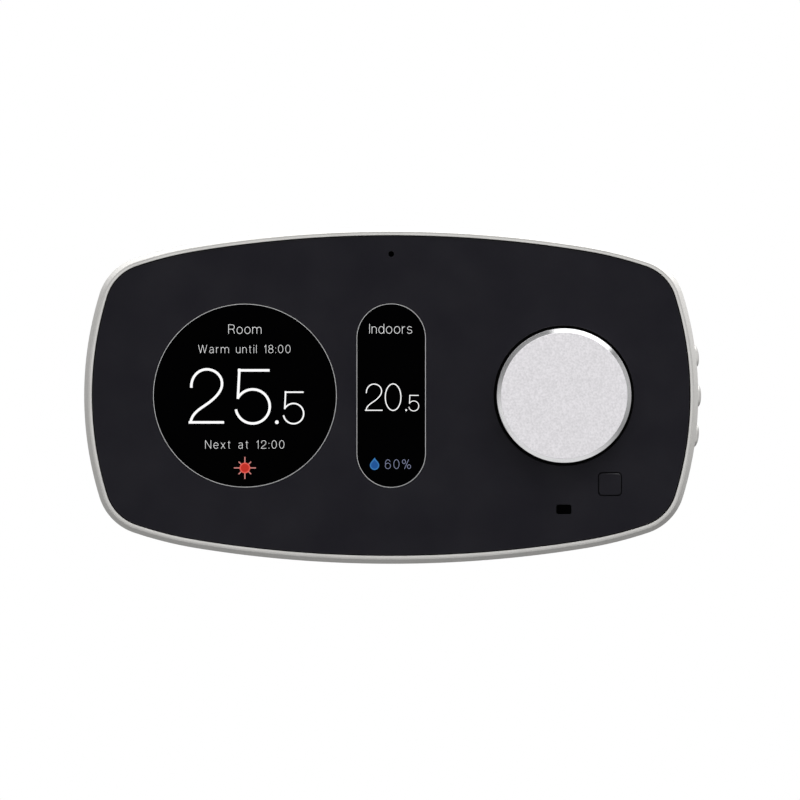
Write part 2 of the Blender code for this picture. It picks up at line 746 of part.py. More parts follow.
def button_dome():
    """The part of a button that stands proud: half an ellipsoid on a low rim."""
    rim = SIDE_RADIUS + BUTTON_PROUD * DOME_RIM
    height = SIDE_RADIUS + BUTTON_PROUD - rim
    steepest = math.sin(math.radians(DOME_TURNS[-1]))
    sections = []
    for turn in DOME_TURNS:
        shrink = math.cos(math.radians(turn))
        loop = pill(BUTTON_HALF[0] * shrink, BUTTON_HALF[1] * shrink, 6)
        sections.append((loop, rim + height * math.sin(math.radians(turn)) / steepest))
    return sections


def side_stack(name, sections, axis, finish=None):
    """A piece whose sections lie along a radius of the side arc, at distances from the arc's centre."""
    made = solid(name, [sections], finish, parent=axis)
    made.rotation_euler = (0.0, 0.0, math.pi / 2)
    return made


def side_slab(name, layers, finish, z=0.0):
    """A piece that lies across X: each layer is a half size along Y, one along Z, and an X position."""
    made = solid(name, [[(rectangle(half_y, half_z), x) for half_y, half_z, x in layers]], finish)
    made.rotation_euler = (0.0, 0.0, math.pi / 2)
    made.location = (0.0, -BUTTON_DEPTH * MM, z * MM)


def make_side_buttons(side_axes):
    """Domed buttons with a flange and a stem inside the frame, and the small board with their switches."""
    inside = SIDE_RADIUS - FRAME_WALL - GAP
    board_front = SIDE_BOARD_X + 1.2
    switch_top = SIDE_SWITCH_FACE - 0.6
    side_slab("side_board", [(4.0, 14.2, SIDE_BOARD_X), (4.0, 14.2, board_front)], "board_green")
    for name, angle, axis in side_axes:
        stem_reach = SIDE_SWITCH_FACE + STEM_GAP - (HALF_WIDTH - SIDE_RADIUS)
        shape = [
            (button_loop(-0.8), stem_reach / math.cos(angle)),
            (button_loop(-0.8), inside - BUTTON_FLANGE),
            (button_loop(BUTTON_FLANGE), inside - BUTTON_FLANGE),
            (button_loop(BUTTON_FLANGE), inside),
            (button_loop(0.0), inside),
            *button_dome(),
        ]
        side_stack(f"side_button_{name}", shape, axis, "silver_paint")
        layers = [(2.2, 2.2, board_front + GAP), (2.2, 2.2, switch_top), (1.1, 1.1, switch_top)]
        layers.append((1.1, 1.1, SIDE_SWITCH_FACE))
        side_slab(f"side_switch_{name}", layers, "chip_black", stem_reach * math.tan(angle))


# Inside


def make_main_board():
    edge = flattened(outline(BOARD_INSET), -BOARD_HALF_WIDTH, BOARD_HALF_WIDTH)
    board = solid("main_board", [[(edge, BOARD_BACK), (edge, BOARD_FRONT)]], "board_green")
    holes = []
    for place in BOARD_SCREW_AT:
        hole = moved(circle(1.6, COARSE), *place)
        holes.append([(hole, BOARD_BACK - 1.0), (hole, BOARD_FRONT + 1.0)])
    cut(board, solid("board_holes", holes))
    front = BOARD_FRONT + GAP
    back = BOARD_BACK - GAP
    block("processor", 5.0, 5.0, front, front + 1.2, "chip_black", (0.0, 6.0), bevel=0.2)
    block("wireless_module", 9.0, 6.0, front, front + 2.2, "shield_steel", (-35.0, -5.0), bevel=0.3)
    block("power_module", 13.0, 7.5, 9.2, back, "black_plastic", (0.0, 14.0), bevel=0.4)
    block("relay_left", 4.4, 10.0, 5.0, back, "relay_blue", (-48.0, 0.0), bevel=0.4)
    block("relay_right", 4.4, 10.0, 5.0, back, "relay_blue", (48.0, 0.0), bevel=0.4)
    block("humidity_sensor", 1.5, 1.5, back - 1.0, back, "chip_black", (-16.0, -31.5), bevel=0.1)
    cell = [(6.2, front), (6.2, front + 2.0), (5.6, front + 2.6)]
    turned("backup_cell", cell, "shield_steel", (-38.0, 14.0))
    for side, x in (("left", -BLOCK_X), ("right", BLOCK_X)):
        make_pin_header(side, x)


def make_pin_header(side, x):
    """The pins that carry the connections from the main board into the wall plate's terminals."""
    place = (x, BLOCK_Z + PIN_ROW_Z)
    header = block(f"pin_header_{side}", 7.9, 1.5, 9.4, BOARD_BACK - GAP, "black_plastic", place)
    pins = []
    for column in terminal_columns():
        pin = moved(rectangle(PIN_HALF, PIN_HALF), column, 0.0)
        pins.append([(pin, 3.8), (pin, 10.0)])
    join(header, solid(f"header_pins_{side}", pins, at=place))


def make_screws():
    """Four case screws from the back, and two board screws from the front."""
    for number, place in enumerate(corner_points(), 1):
        recess = flattened(circle(1.5, COARSE), limit_z=0.45)
        head = circle(CASE_SCREW_HEAD, COARSE)
        shank = circle(CASE_SCREW_SHANK, COARSE)
        shape = [(recess, 8.1), (recess, 7.2), (circle(2.1, COARSE), 7.2), (head, 7.5), (head, 8.6)]
        shape += [(shank, 8.6), (shank, 16.8)]
        solid(f"case_screw_{number}", [shape], "zinc", place)
    for number, place in enumerate(BOARD_SCREW_AT, 1):
        top = BOARD_FRONT + GAP
        profile = [(0.95, 9.8), (0.95, top), (2.3, top), (2.1, top + 1.3)]
        turned(f"board_screw_{number}", profile, "zinc", place, COARSE)


def main():
    for existing in list(bpy.data.objects):
        bpy.data.objects.remove(existing)
    make_wall_plate()
    make_terminal_block("left", -BLOCK_X)
    make_terminal_block("right", BLOCK_X)
    make_rear_cover()
    side_axes = make_side_axes()
    make_front_frame(side_axes)
    make_front_panel()
    make_displays()
    make_sensor_window()
    make_microphone()
    make_key()
    make_knob()
    make_encoder()
    make_side_buttons(side_axes)
    make_main_board()
    make_screws()


main()
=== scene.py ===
"""Looks of the wall thermostat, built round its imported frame.

Lengths are in millimetres. A depth is a distance from the wall, so a point at depth 10 has Y = -10 mm.
Places and sizes come from the frame's boxes. The outer casing is made again on true arcs, in place of its
coarse solids.
"""

import math
from types import SimpleNamespace

import bmesh
import bpy
from mathutils import Matrix, Vector


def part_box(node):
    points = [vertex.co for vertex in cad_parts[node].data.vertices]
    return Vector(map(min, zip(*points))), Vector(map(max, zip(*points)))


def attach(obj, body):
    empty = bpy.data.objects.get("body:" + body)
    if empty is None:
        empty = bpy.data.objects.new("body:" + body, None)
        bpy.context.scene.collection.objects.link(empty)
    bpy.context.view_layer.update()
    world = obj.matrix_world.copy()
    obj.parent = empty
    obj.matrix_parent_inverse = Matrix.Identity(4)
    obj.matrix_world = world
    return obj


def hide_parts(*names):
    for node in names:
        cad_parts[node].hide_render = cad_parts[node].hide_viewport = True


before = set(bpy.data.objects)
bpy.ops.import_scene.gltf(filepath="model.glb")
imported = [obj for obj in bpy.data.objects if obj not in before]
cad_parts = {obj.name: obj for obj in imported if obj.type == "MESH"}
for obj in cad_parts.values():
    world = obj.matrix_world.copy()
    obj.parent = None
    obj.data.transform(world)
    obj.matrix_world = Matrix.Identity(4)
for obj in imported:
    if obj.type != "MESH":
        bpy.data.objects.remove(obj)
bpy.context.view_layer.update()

MM = 0.001
UNIT = "unit"
WALL = "wall_side"

# Body outline. Each quarter has a side, a corner, a shoulder and a top arc, each touching the next.
SIDE_RADIUS = 77.9
CORNER_RADIUS = 12.25
SHOULDER_RADIUS = 88.5
TOP_RADIUS = 276.5
SIDE_END = math.radians(17.25)
CORNER_END = math.radians(71.3)
SIDE_STEPS = 14
CORNER_STEPS = 20
SHOULDER_STEPS = 8
TOP_STEPS = 20
ROUND_STEPS = 144

# Front frame. An inset is measured inwards from the body outline.
FRAME_WALL = 1.75
LIP_START = 1.35
LIP_BEHIND_FRONT = 0.03
LIP_INSET = 1.79
LEDGE_INSET = 3.9
LEDGE_BACK = 23.0
LEDGE_FRONT = 24.2
POST_RADIUS = 2.9
POST_PILOT_RADIUS = 1.45
RIB_HALF = (2.6, 0.6)
RAIL_AT = (63.5, 15.4)
RAIL_HALF = (4.0, 0.75)

# Rear cover. The case screws stand on the diagonals of the corner arcs.
BOSS_REACH = 5.85
BOSS_RADIUS = 3.6
BOARD_BOSS_RADIUS = 2.4
BOARD_PILOT_RADIUS = 1.2
COVER_STEP = 2.0
COVER_WALL = 1.8
POCKET_FLOOR = 7.0
POCKET_GAP = 0.8
POCKET_CORNER = 7.8
VENTS = 7
VENT_PITCH = 7.0
VENT_HALF = (0.8, 4.5)
VENT_Z = 37.0

# Wall plate. Its box holds the catches, which stand proud above and below.
CATCH_PROUD = 0.5
CATCH_X = 24.0
PLATE_CORNER = 7.0
PLATE_WALL = 1.6
WALL_SCREW_X = 30.0

# Side buttons, on the arc of the right-hand side. Each ends in a dome on a low rim, which is drawn up to
# DOME_LAST degrees, and its stem stops STEM_GAP short of its switch.
BUTTON_PITCH = 9.1
BUTTON_DEPTH = 18.6
BUTTON_HALF = (1.5, 2.55)
BUTTON_GAP = 0.25
BUTTON_PROUD = 0.9
BUTTON_FLANGE = 0.8
BUTTON_NAMES = ("lower", "middle", "upper")
STEM_GAP = 0.7
DOME_RIM = 0.1
DOME_STEPS = 16
DOME_LAST = 86

# Front panel and what is in it. TRIM_REACH is from the edge of a trim's box to the middle of its line.
PANEL_INSET = 1.98
TRIM_WIDTH = 0.09
TRIM_REACH = 0.1
WINDOW_GAP = 0.18
LENS_GAP = 0.08
KNOB_GAP = 0.72
KNOB_CHAMFER = 0.9
KNOB_SKIRT = 1.45
KEY_HALF = 2.45
KEY_CORNER = 0.7
KEY_GAP = 0.25
PANE_CORNER = 0.4
PANE_GAP = 0.08
SOUND_HOLE_RADIUS = 0.65

# Camera, in metres: the distance to the frame's front and the width of the view there
CAMERA_DISTANCE = 1.8
VIEW_WIDTH = 0.18135
CAMERA_AT = (0.0020, -0.0010)

# The studio's soft surround: levels against the angle from the line of sight, and against the turn about it
# (0 is the right, 90 is up), in degrees. One level scales them all.
SURROUND_LEVEL = 2.7
SURROUND_BY_AXIS = (
    (0, 0.01), (7, 0.01), (17, 0.52), (40, 0.46), (65, 1.0), (115, 1.0), (130, 0.4), (180, 0.4),
)
FRONT_BY_TURN = (
    (0, 0.52), (25, 0.97), (45, 1.35), (80, 1.15), (100, 1.30), (122, 1.30), (140, 0.90), (155, 0.58),
    (168, 0.38), (185, 0.24), (205, 0.15), (260, 0.10), (300, 0.10), (320, 0.17), (345, 0.34), (360, 0.52),
)
SIDE_BY_TURN = (
    (0, 0.19), (25, 0.19), (42, 0.10), (48, 0.80), (94, 0.80), (102, 0.10), (130, 0.12), (155, 0.10),
    (172, 0.20), (190, 0.37), (290, 0.36), (310, 0.27), (330, 0.13), (345, 0.16), (360, 0.19),
)

# Against the angle from the line of sight: how much the turn counts, and where the side's levels replace
# the front's
TURN_COUNTS = ((0, 0.0), (30, 0.0), (50, 1.0), (180, 1.0))
SIDE_HOLDS = ((0, 0.0), (74, 0.0), (84, 1.0), (96, 1.0), (106, 0.0), (180, 0.0))

# Floor, in metres
FLOOR_HALF = 3.0
FLOOR_HEIGHT = -0.30


# Places from the frame


def place(node):
    """A node's centre and half sizes in X and Z, and the depths of its back and front."""
    low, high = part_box(node)
    return SimpleNamespace(
        x=(low.x + high.x) / 2 / MM,
        z=(low.z + high.z) / 2 / MM,
        half_x=(high.x - low.x) / 2 / MM,
        half_z=(high.z - low.z) / 2 / MM,
        back=-high.y / MM,
        front=-low.y / MM,
    )


RIM = place("front_frame")
PANEL = place("front_panel")
COVER = place("rear_cover")
PLATE = place("wall_plate")
KNOB = place("knob_cap")
KEY = place("square_key")
WINDOW = place("sensor_window")
ROUND = place("round_window_trim")
SLIM = place("slim_window_trim")
ROUND_LENS = place("round_lens")
SLIM_LENS = place("slim_lens")
SOUND_TUBE = place("microphone_tube")
HALF_WIDTH = RIM.half_x
HALF_HEIGHT = RIM.half_z


# Outlines, as lists of (x, z) points that run counter-clockwise seen from the front


def arc(centre, radius, start, end, steps):
    """Points along an arc, its end left out."""
    angles = [start + (end - start) * i / steps for i in range(steps)]
    return [(centre[0] + radius * math.cos(a), centre[1] + radius * math.sin(a)) for a in angles]


def outline_arcs():
    """The arcs of the upper right quarter, from the right round to the top.

    Each has its centre, radius, first and last angle, and number of steps.
    """
    side = (HALF_WIDTH - SIDE_RADIUS, 0.0)
    reach = SIDE_RADIUS - CORNER_RADIUS
    corner = (side[0] + reach * math.cos(SIDE_END), reach * math.sin(SIDE_END))
    reach = SHOULDER_RADIUS - CORNER_RADIUS
    shoulder = (corner[0] - reach * math.cos(CORNER_END), corner[1] - reach * math.sin(CORNER_END))
    reach = TOP_RADIUS - SHOULDER_RADIUS
    shoulder_end = math.acos(shoulder[0] / reach)
    top = (0.0, shoulder[1] - reach * math.sin(shoulder_end))
    return [
        (side, SIDE_RADIUS, 0.0, SIDE_END, SIDE_STEPS),
        (corner, CORNER_RADIUS, SIDE_END, CORNER_END, CORNER_STEPS),
        (shoulder, SHOULDER_RADIUS, CORNER_END, shoulder_end, SHOULDER_STEPS),
        (top, TOP_RADIUS, shoulder_end, math.pi / 2, TOP_STEPS),
    ]


def corner_centre():
    """The centre of the upper right corner arc."""
    return outline_arcs()[1][0]


def outline(inset):
    """The body's outline, moved inwards by inset."""
    quarter = []
    for centre, radius, start, end, steps in outline_arcs():
        quarter += arc(centre, radius - inset, start, end, steps)
    quarter.append((0.0, centre[1] + radius - inset))
    loop = quarter[:-1]
    loop += [(-x, z) for x, z in reversed(quarter)][:-1]
    loop += [(-x, -z) for x, z in quarter][:-1]
    loop += [(x, -z) for x, z in reversed(quarter)][:-1]
    return loop


def circle(radius, count=ROUND_STEPS):
    return arc((0.0, 0.0), radius, 0.0, 2 * math.pi, count)


def rounded(half_x, half_z, radius, steps=8):
    """A rectangle with round corners."""
    loop = []
    for quarter, (sx, sz) in enumerate(((1, 1), (-1, 1), (-1, -1), (1, -1))):
        centre = (sx * (half_x - radius), sz * (half_z - radius))
        start = quarter * math.pi / 2
        loop += arc(centre, radius, start, start + math.pi / 2, steps)
        end = start + math.pi / 2
        loop.append((centre[0] + radius * math.cos(end), centre[1] + radius * math.sin(end)))
    return loop


def pill(half_x, half_z, steps=ROUND_STEPS // 2):
    """An upright shape with straight sides and half-round ends."""
    reach = half_z - half_x
    loop = arc((0.0, reach), half_x, 0.0, math.pi, steps) + [(-half_x, reach)]
    loop += arc((0.0, -reach), half_x, math.pi, 2 * math.pi, steps) + [(half_x, -reach)]
    return loop


def rectangle(half_x, half_z):
    return [(half_x, half_z), (-half_x, half_z), (-half_x, -half_z), (half_x, -half_z)]


def moved(loop, dx, dz):
    return [(x + dx, z + dz) for x, z in loop]


# Mesh pieces


def add_body(mesh, sections, cyclic=False):
    """Skins a closed body over a stack of (loop, depth) sections, capped at both ends unless it is cyclic."""
    rings = []
    for loop, depth in sections:
        rings.append([mesh.verts.new((x * MM, -depth * MM, z * MM)) for x, z in loop])
    pairs = list(zip(rings, rings[1:]))
    if cyclic:
        pairs.append((rings[-1], rings[0]))
    count = len(rings[0])
    for low, high in pairs:
        for i in range(count):
            j = (i + 1) % count
            mesh.faces.new((low[i], low[j], high[j], high[i]))
    if not cyclic:
        mesh.faces.new(rings[0])
        mesh.faces.new(rings[-1])


def solid(name, bodies, at=(0.0, 0.0), cyclic=False, matrix=None):
    """One object made of skinned bodies. The move to (x, z), or the matrix, goes into the mesh."""
    mesh = bmesh.new()
    for sections in bodies:
        add_body(mesh, sections, cyclic)
    bmesh.ops.recalc_face_normals(mesh, faces=mesh.faces)
    move = matrix or Matrix.Translation((at[0] * MM, 0, at[1] * MM))
    bmesh.ops.transform(mesh, matrix=move, verts=mesh.verts)
    data = bpy.data.meshes.new(name)
    mesh.to_mesh(data)
    mesh.free()
    made = bpy.data.objects.new(name, data)
    bpy.context.scene.collection.objects.link(made)
    return made


def change(target, tool, operation):
    """Cuts the tool from the target, or joins it on, and removes the tool."""
    modifier = target.modifiers.new("change", "BOOLEAN")
    modifier.operation = operation
    modifier.object = tool
    graph = bpy.context.evaluated_depsgraph_get()
    result = bpy.data.meshes.new_from_object(target.evaluated_get(graph))
    target.modifiers.clear()
    target.data = result
    bpy.data.objects.remove(tool)


def cut(target, bodies, **places):
    change(target, solid("tool", bodies, **places), "DIFFERENCE")


def join(target, bodies, **places):
    change(target, solid("tool", bodies, **places), "UNION")


def finished(made, material, body, node=None, crease=30.0):
    """Smooths the piece between creases, gives it its material and body, and hides the node it stands for."""
    made.data.materials.clear()
    made.data.materials.append(material)
    made.data.shade_smooth()
    made.data.set_sharp_from_angle(angle=math.radians(crease))
    weighted = made.modifiers.new("normals", "WEIGHTED_NORMAL")
    weighted.keep_sharp = True
    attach(made, body)
    if node:
        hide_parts(node)
    return made


def add_finish(made, material):
    """Adds one more material to a finished piece, and gives the index that its faces use."""
    made.data.materials.append(material)
    return len(made.data.materials) - 1


def rounding(inset, depth, width, height, start, end, steps):
    """(inset, depth) pairs along part of an ellipse that leaves the side wall and turns to the front.

    Start and end are angles in degrees: 0 is on the side wall and 90 is level with the front.
    """
    pairs = []
    for i in range(steps + 1):
        angle = math.radians(start + (end - start) * i / steps)
        pairs.append((inset + width * (1 - math.cos(angle)), depth + height * math.sin(angle)))
    return pairs


# Materials


def new_material(name, colour, roughness, metallic=0.0, **sockets):
    """A Principled material. Values that are the same all over sit on the shader's own sockets."""
    made = bpy.data.materials.new(name)
    made.use_nodes = True
    shader = made.node_tree.nodes["Principled BSDF"]
    shader.inputs["Base Color"].default_value = (*colour, 1.0)
    shader.inputs["Roughness"].default_value = roughness
    shader.inputs["Metallic"].default_value = metallic
    for socket, value in sockets.items():
        shader.inputs[socket.replace("_", " ")].default_value = value
    return made


def noise(material, size, detail=2.0, stretch=(1.0, 1.0, 1.0)):
    """A noise in the object's own space. Size is that of one feature, in millimetres."""
    nodes = material.node_tree.nodes
    links = material.node_tree.links
    where = nodes.new("ShaderNodeTexCoord")
    mapping = nodes.new("ShaderNodeMapping")
    mapping.inputs["Scale"].default_value = stretch
    texture = nodes.new("ShaderNodeTexNoise")
    texture.inputs["Scale"].default_value = 1.0 / (size * MM)
    texture.inputs["Detail"].default_value = detail
    links.new(where.outputs["Object"], mapping.inputs["Vector"])
    links.new(mapping.outputs["Vector"], texture.inputs["Vector"])
    return texture.outputs["Fac"]


def add_bump(material, height, depth, strength=1.0):
    """Raises the surface by the height output, at most by depth in millimetres."""
    nodes = material.node_tree.nodes
    links = material.node_tree.links
    shader = nodes["Principled BSDF"]
    bump = nodes.new("ShaderNodeBump")
    bump.inputs["Strength"].default_value = strength
    bump.inputs["Distance"].default_value = depth * MM
    links.new(height, bump.inputs["Height"])
    if shader.inputs["Normal"].is_linked:
        links.new(shader.inputs["Normal"].links[0].from_socket, bump.inputs["Normal"])
    links.new(bump.outputs["Normal"], shader.inputs["Normal"])


def vary_roughness(material, factor, low, high):
    """Lets the roughness run from low to high as the factor rises."""
    nodes = material.node_tree.nodes
    links = material.node_tree.links
    spread = nodes.new("ShaderNodeMapRange")
    spread.inputs["From Min"].default_value = 0.3
    spread.inputs["From Max"].default_value = 0.7
    spread.inputs["To Min"].default_value = low
    spread.inputs["To Max"].default_value = high
    links.new(factor, spread.inputs["Value"])
    links.new(spread.outputs["Result"], nodes["Principled BSDF"].inputs["Roughness"])


def vary_colour(material, factor, colours, spread=(0.3, 0.7)):
    """Blends between colours as the factor rises."""
    nodes = material.node_tree.nodes
    links = material.node_tree.links
    ramp = nodes.new("ShaderNodeValToRGB")
    ramp.color_ramp.elements[0].position = spread[0]
    ramp.color_ramp.elements[1].position = spread[1]
    for element, colour in zip(ramp.color_ramp.elements, colours):
        element.color = (*colour, 1.0)
    links.new(factor, ramp.inputs["Fac"])
    links.new(ramp.outputs["Color"], nodes["Principled BSDF"].inputs["Base Color"])


def shade(colour, factor):
    """The colour made darker, or paler where the factor is over 1."""
    return tuple(c * factor for c in colour)


def speckled(name, colour, roughness, grain, depth, metallic=0.0, contrast=0.06, **sockets):
    """A surface with a fine grain, and with colour and roughness that drift a little."""
    made = new_material(name, colour, roughness, metallic, **sockets)
    add_bump(made, noise(made, grain), depth)
    vary_roughness(made, noise(made, 9.0, 3.0), roughness * 0.92, roughness * 1.08)
    drift = (shade(colour, 1 - contrast), shade(colour, 1 + contrast))
    vary_colour(made, noise(made, 2.0, 4.0), drift)
    return made


def silver_paint(name, painted_highlight_factor):
    """Warm silver paint: small flakes under a clear coat."""
    # A factor over 1 gives a paler copy of the same paint: a painted highlight.
    colour = shade((0.59, 0.581, 0.563), painted_highlight_factor)
    made = new_material(name, colour, 0.36, 0.9, Coat_Weight=0.25, Coat_Roughness=0.12)
    flakes = noise(made, 0.12, 1.0)
    vary_colour(made, flakes, (shade(colour, 0.88), shade(colour, 1.12)))
    add_bump(made, flakes, 0.0015)
    vary_roughness(made, noise(made, 6.0, 3.0), 0.33, 0.39)
    return made


def blasted_aluminium():
    """Fine bead-blasted and anodised top."""
    colour = (0.78, 0.765, 0.788)
    made = new_material("blasted_aluminium", colour, 0.56, 1.0)
    pits = noise(made, 0.22, 3.0)
    add_bump(made, pits, 0.012)
    vary_colour(made, noise(made, 0.45, 4.0), (shade(colour, 0.89), shade(colour, 1.10)))
    vary_roughness(made, noise(made, 5.0, 3.0), 0.53, 0.59)
    return made


def cut_aluminium():
    """The bright edge that a diamond tool leaves: fine turned lines."""
    colour = (0.88, 0.88, 0.89)
    made = new_material("cut_aluminium", colour, 0.16, 1.0)
    lines = noise(made, 0.5, 2.0, (0.05, 12.0, 0.05))
    add_bump(made, lines, 0.0008)
    vary_roughness(made, noise(made, 3.0, 2.0), 0.13, 0.19)
    return made


def black_panel():
    """Near-black coated panel, with the faint orange peel of a coating."""
    colour = (0.0087, 0.0082, 0.0116)
    made = new_material("black_panel", colour, 0.22, 0.0, Specular_IOR_Level=0.3)
    add_bump(made, noise(made, 1.6, 1.0), 0.0012)
    vary_roughness(made, noise(made, 12.0, 3.0), 0.20, 0.25)
    vary_colour(made, noise(made, 0.3, 2.0), (shade(colour, 0.96), shade(colour, 1.04)))
    return made


def black_glass():
    """Display glass with a coating that keeps its reflections down."""
    made = new_material("black_glass", (0.0004, 0.0004, 0.0005), 0.08, 0.0, Specular_IOR_Level=0.12)
    add_bump(made, noise(made, 4.0, 1.0), 0.0004)
    vary_roughness(made, noise(made, 14.0, 2.0), 0.06, 0.10)
    return made


def glowing(name, colour, strength=1.0):
    """A lit part of a display: its dots show as a very fine change of colour."""
    made = new_material(name, shade(colour, 0.02), 0.4, 0.0, Specular_IOR_Level=0.05)
    shader = made.node_tree.nodes["Principled BSDF"]
    shader.inputs["Emission Color"].default_value = (*colour, 1.0)
    shader.inputs["Emission Strength"].default_value = strength
    vary_colour(made, noise(made, 0.1, 0.0), (shade(colour, 0.01), shade(colour, 0.03)))
    return made


def circuit_board():
    """Green solder mask over copper: the copper shows as paler straight-sided fields."""
    made = new_material("circuit_board", (0.01, 0.10, 0.04), 0.4)
    nodes = made.node_tree.nodes
    links = made.node_tree.links
    where = nodes.new("ShaderNodeTexCoord")
    fields = nodes.new("ShaderNodeTexVoronoi")
    fields.distance = "MANHATTAN"
    fields.inputs["Scale"].default_value = 1.0 / (3.0 * MM)
    links.new(where.outputs["Object"], fields.inputs["Vector"])
    vary_colour(made, fields.outputs["Distance"], ((0.012, 0.13, 0.05), (0.006, 0.07, 0.03)), (0.35, 0.42))
    add_bump(made, fields.outputs["Distance"], 0.02)
    return made


def brushed(name, colour, roughness):
    """Plated or sheet metal, with fine lines along X."""
    made = new_material(name, colour, roughness, 1.0)
    lines = noise(made, 0.15, 2.0, (0.06, 1.0, 1.0))
    add_bump(made, lines, 0.002)
    vary_roughness(made, lines, roughness * 0.85, roughness * 1.15)
    return made


MATERIALS = {
    "silver": silver_paint("silver_paint", 1.0),
    # The lip's paint is a paler copy of the frame's: a painted highlight.
    "silver_lip_painted_highlight": silver_paint("silver_lip_painted_highlight", 1.26),
    "knob_top": blasted_aluminium(),
    "knob_edge": cut_aluminium(),
    "panel": black_panel(),
    "glass": black_glass(),
    "trim": speckled("window_trim_line", (0.66, 0.66, 0.665), 0.45, 0.3, 0.001, 0.4),
    "white_plastic": speckled("white_plastic", (0.52, 0.52, 0.505), 0.5, 0.35, 0.006, 0.0, 0.015),
    "black_plastic": speckled("black_plastic", (0.018, 0.018, 0.019), 0.5, 0.25, 0.006),
    "display_frame": speckled("display_frame", (0.45, 0.45, 0.47), 0.45, 0.3, 0.004),
    "board": circuit_board(),
    "chip": speckled("chip_black", (0.015, 0.015, 0.016), 0.4, 0.12, 0.003),
    "relay": speckled("relay_blue", (0.02, 0.09, 0.35), 0.4, 0.3, 0.003),
    "terminal": speckled("terminal_green", (0.02, 0.22, 0.07), 0.45, 0.3, 0.004),
    "flex": speckled("flex_amber", (0.38, 0.16, 0.02), 0.35, 0.4, 0.002),
    # Near-black for the frame's hidden inner faces: painted shade that keeps the gap round the panel dark.
    "gap_painted_shade": speckled("gap_painted_shade", (0.002, 0.002, 0.002), 0.8, 0.1, 0.004, Specular_IOR_Level=0.05),
    "rubber": speckled("rubber", (0.004, 0.004, 0.004), 0.8, 0.2, 0.008, Specular_IOR_Level=0.2),
    "steel": brushed("tinned_steel", (0.60, 0.60, 0.58), 0.3),
    "zinc": brushed("zinc_plate", (0.62, 0.63, 0.65), 0.32),
    "brass": brushed("bare_brass", (0.70, 0.50, 0.20), 0.3),
    "white_light": glowing("lit_white", (1.0, 1.0, 1.0)),
    "grey_light": glowing("lit_grey", (0.84, 0.84, 0.84)),
    "pale_red_light": glowing("lit_pale_red", (0.58, 0.22, 0.20)),
    "red_light": glowing("lit_red", (0.74, 0.09, 0.07)),
    "deep_red_light": glowing("lit_deep_red", (0.50, 0.03, 0.02)),
    "blue_light": glowing("lit_blue", (0.04, 0.18, 0.44)),
    "deep_blue_light": glowing("lit_deep_blue", (0.014, 0.085, 0.29)),
    "slate_light": glowing("lit_slate", (0.20, 0.22, 0.33)),
}

# What each kept node is made of
KEPT = {
    "terminal": ["terminal_block_left", "terminal_block_right"],
    "zinc": [f"terminal_screw_{side}_{i}" for side in ("left", "right") for i in (1, 2, 3)]
    + [f"case_screw_{i}" for i in (1, 2, 3, 4)]
    + ["board_screw_1", "board_screw_2", "encoder_shaft", "encoder_bushing"],
    "board": ["main_board", "side_board"],
    "chip": ["processor", "humidity_sensor", "light_sensor", "key_switch"]
    + [f"side_switch_{name}" for name in ("lower", "middle", "upper")]
    + ["round_flex_connector", "slim_flex_connector", "microphone"],
    "steel": ["wireless_module", "backup_cell"],
    "black_plastic": ["power_module", "encoder_body", "encoder_plunger", "knob_hub"]
    + ["pin_header_left", "pin_header_right"],
    "relay": ["relay_left", "relay_right"],
    "brass": ["encoder_nut"],
    "rubber": ["microphone_tube", "knob_well"],
    "display_frame": ["round_display", "slim_display"],
    "flex": ["round_display_flex", "slim_display_flex"],
}


def dress_kept_nodes():
    """Gives the nodes whose shape stays their materials."""
    for material, names in KEPT.items():
        for name in names:
            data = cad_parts[name].data
            data.materials.clear()
            data.materials.append(MATERIALS[material])
            data.shade_smooth()
            data.set_sharp_from_angle(angle=math.radians(30))


# Casing


def corner_points():
    """Where the four case screws stand, on the diagonals of the corner arcs."""
    cx, cz = corner_centre()
    step = BOSS_REACH / math.sqrt(2)
    return [(sx * (cx + step), sz * (cz + step)) for sx in (-1, 1) for sz in (-1, 1)]


def side_matrix(step):
    """Stands a piece's depth along the radius of the side arc, at one of the three buttons."""
    angle = math.asin(step * BUTTON_PITCH / SIDE_RADIUS)
    centre = Matrix.Translation(((HALF_WIDTH - SIDE_RADIUS) * MM, -BUTTON_DEPTH * MM, 0.0))
    return centre @ Matrix.Rotation(-angle, 4, "Y") @ Matrix.Rotation(math.pi / 2, 4, "Z")


def button_loop(grow):
    """A side button's outline, grown all round."""
    return pill(BUTTON_HALF[0] + grow, BUTTON_HALF[1] + grow, 24)


def lies_on_outline(face):
    """Whether a face of the casing looks outwards, away from the middle of the object."""
    outwards = Vector((face.center.x / HALF_WIDTH, 0.0, face.center.z / HALF_HEIGHT))
    return face.normal.dot(outwards) > 0.0


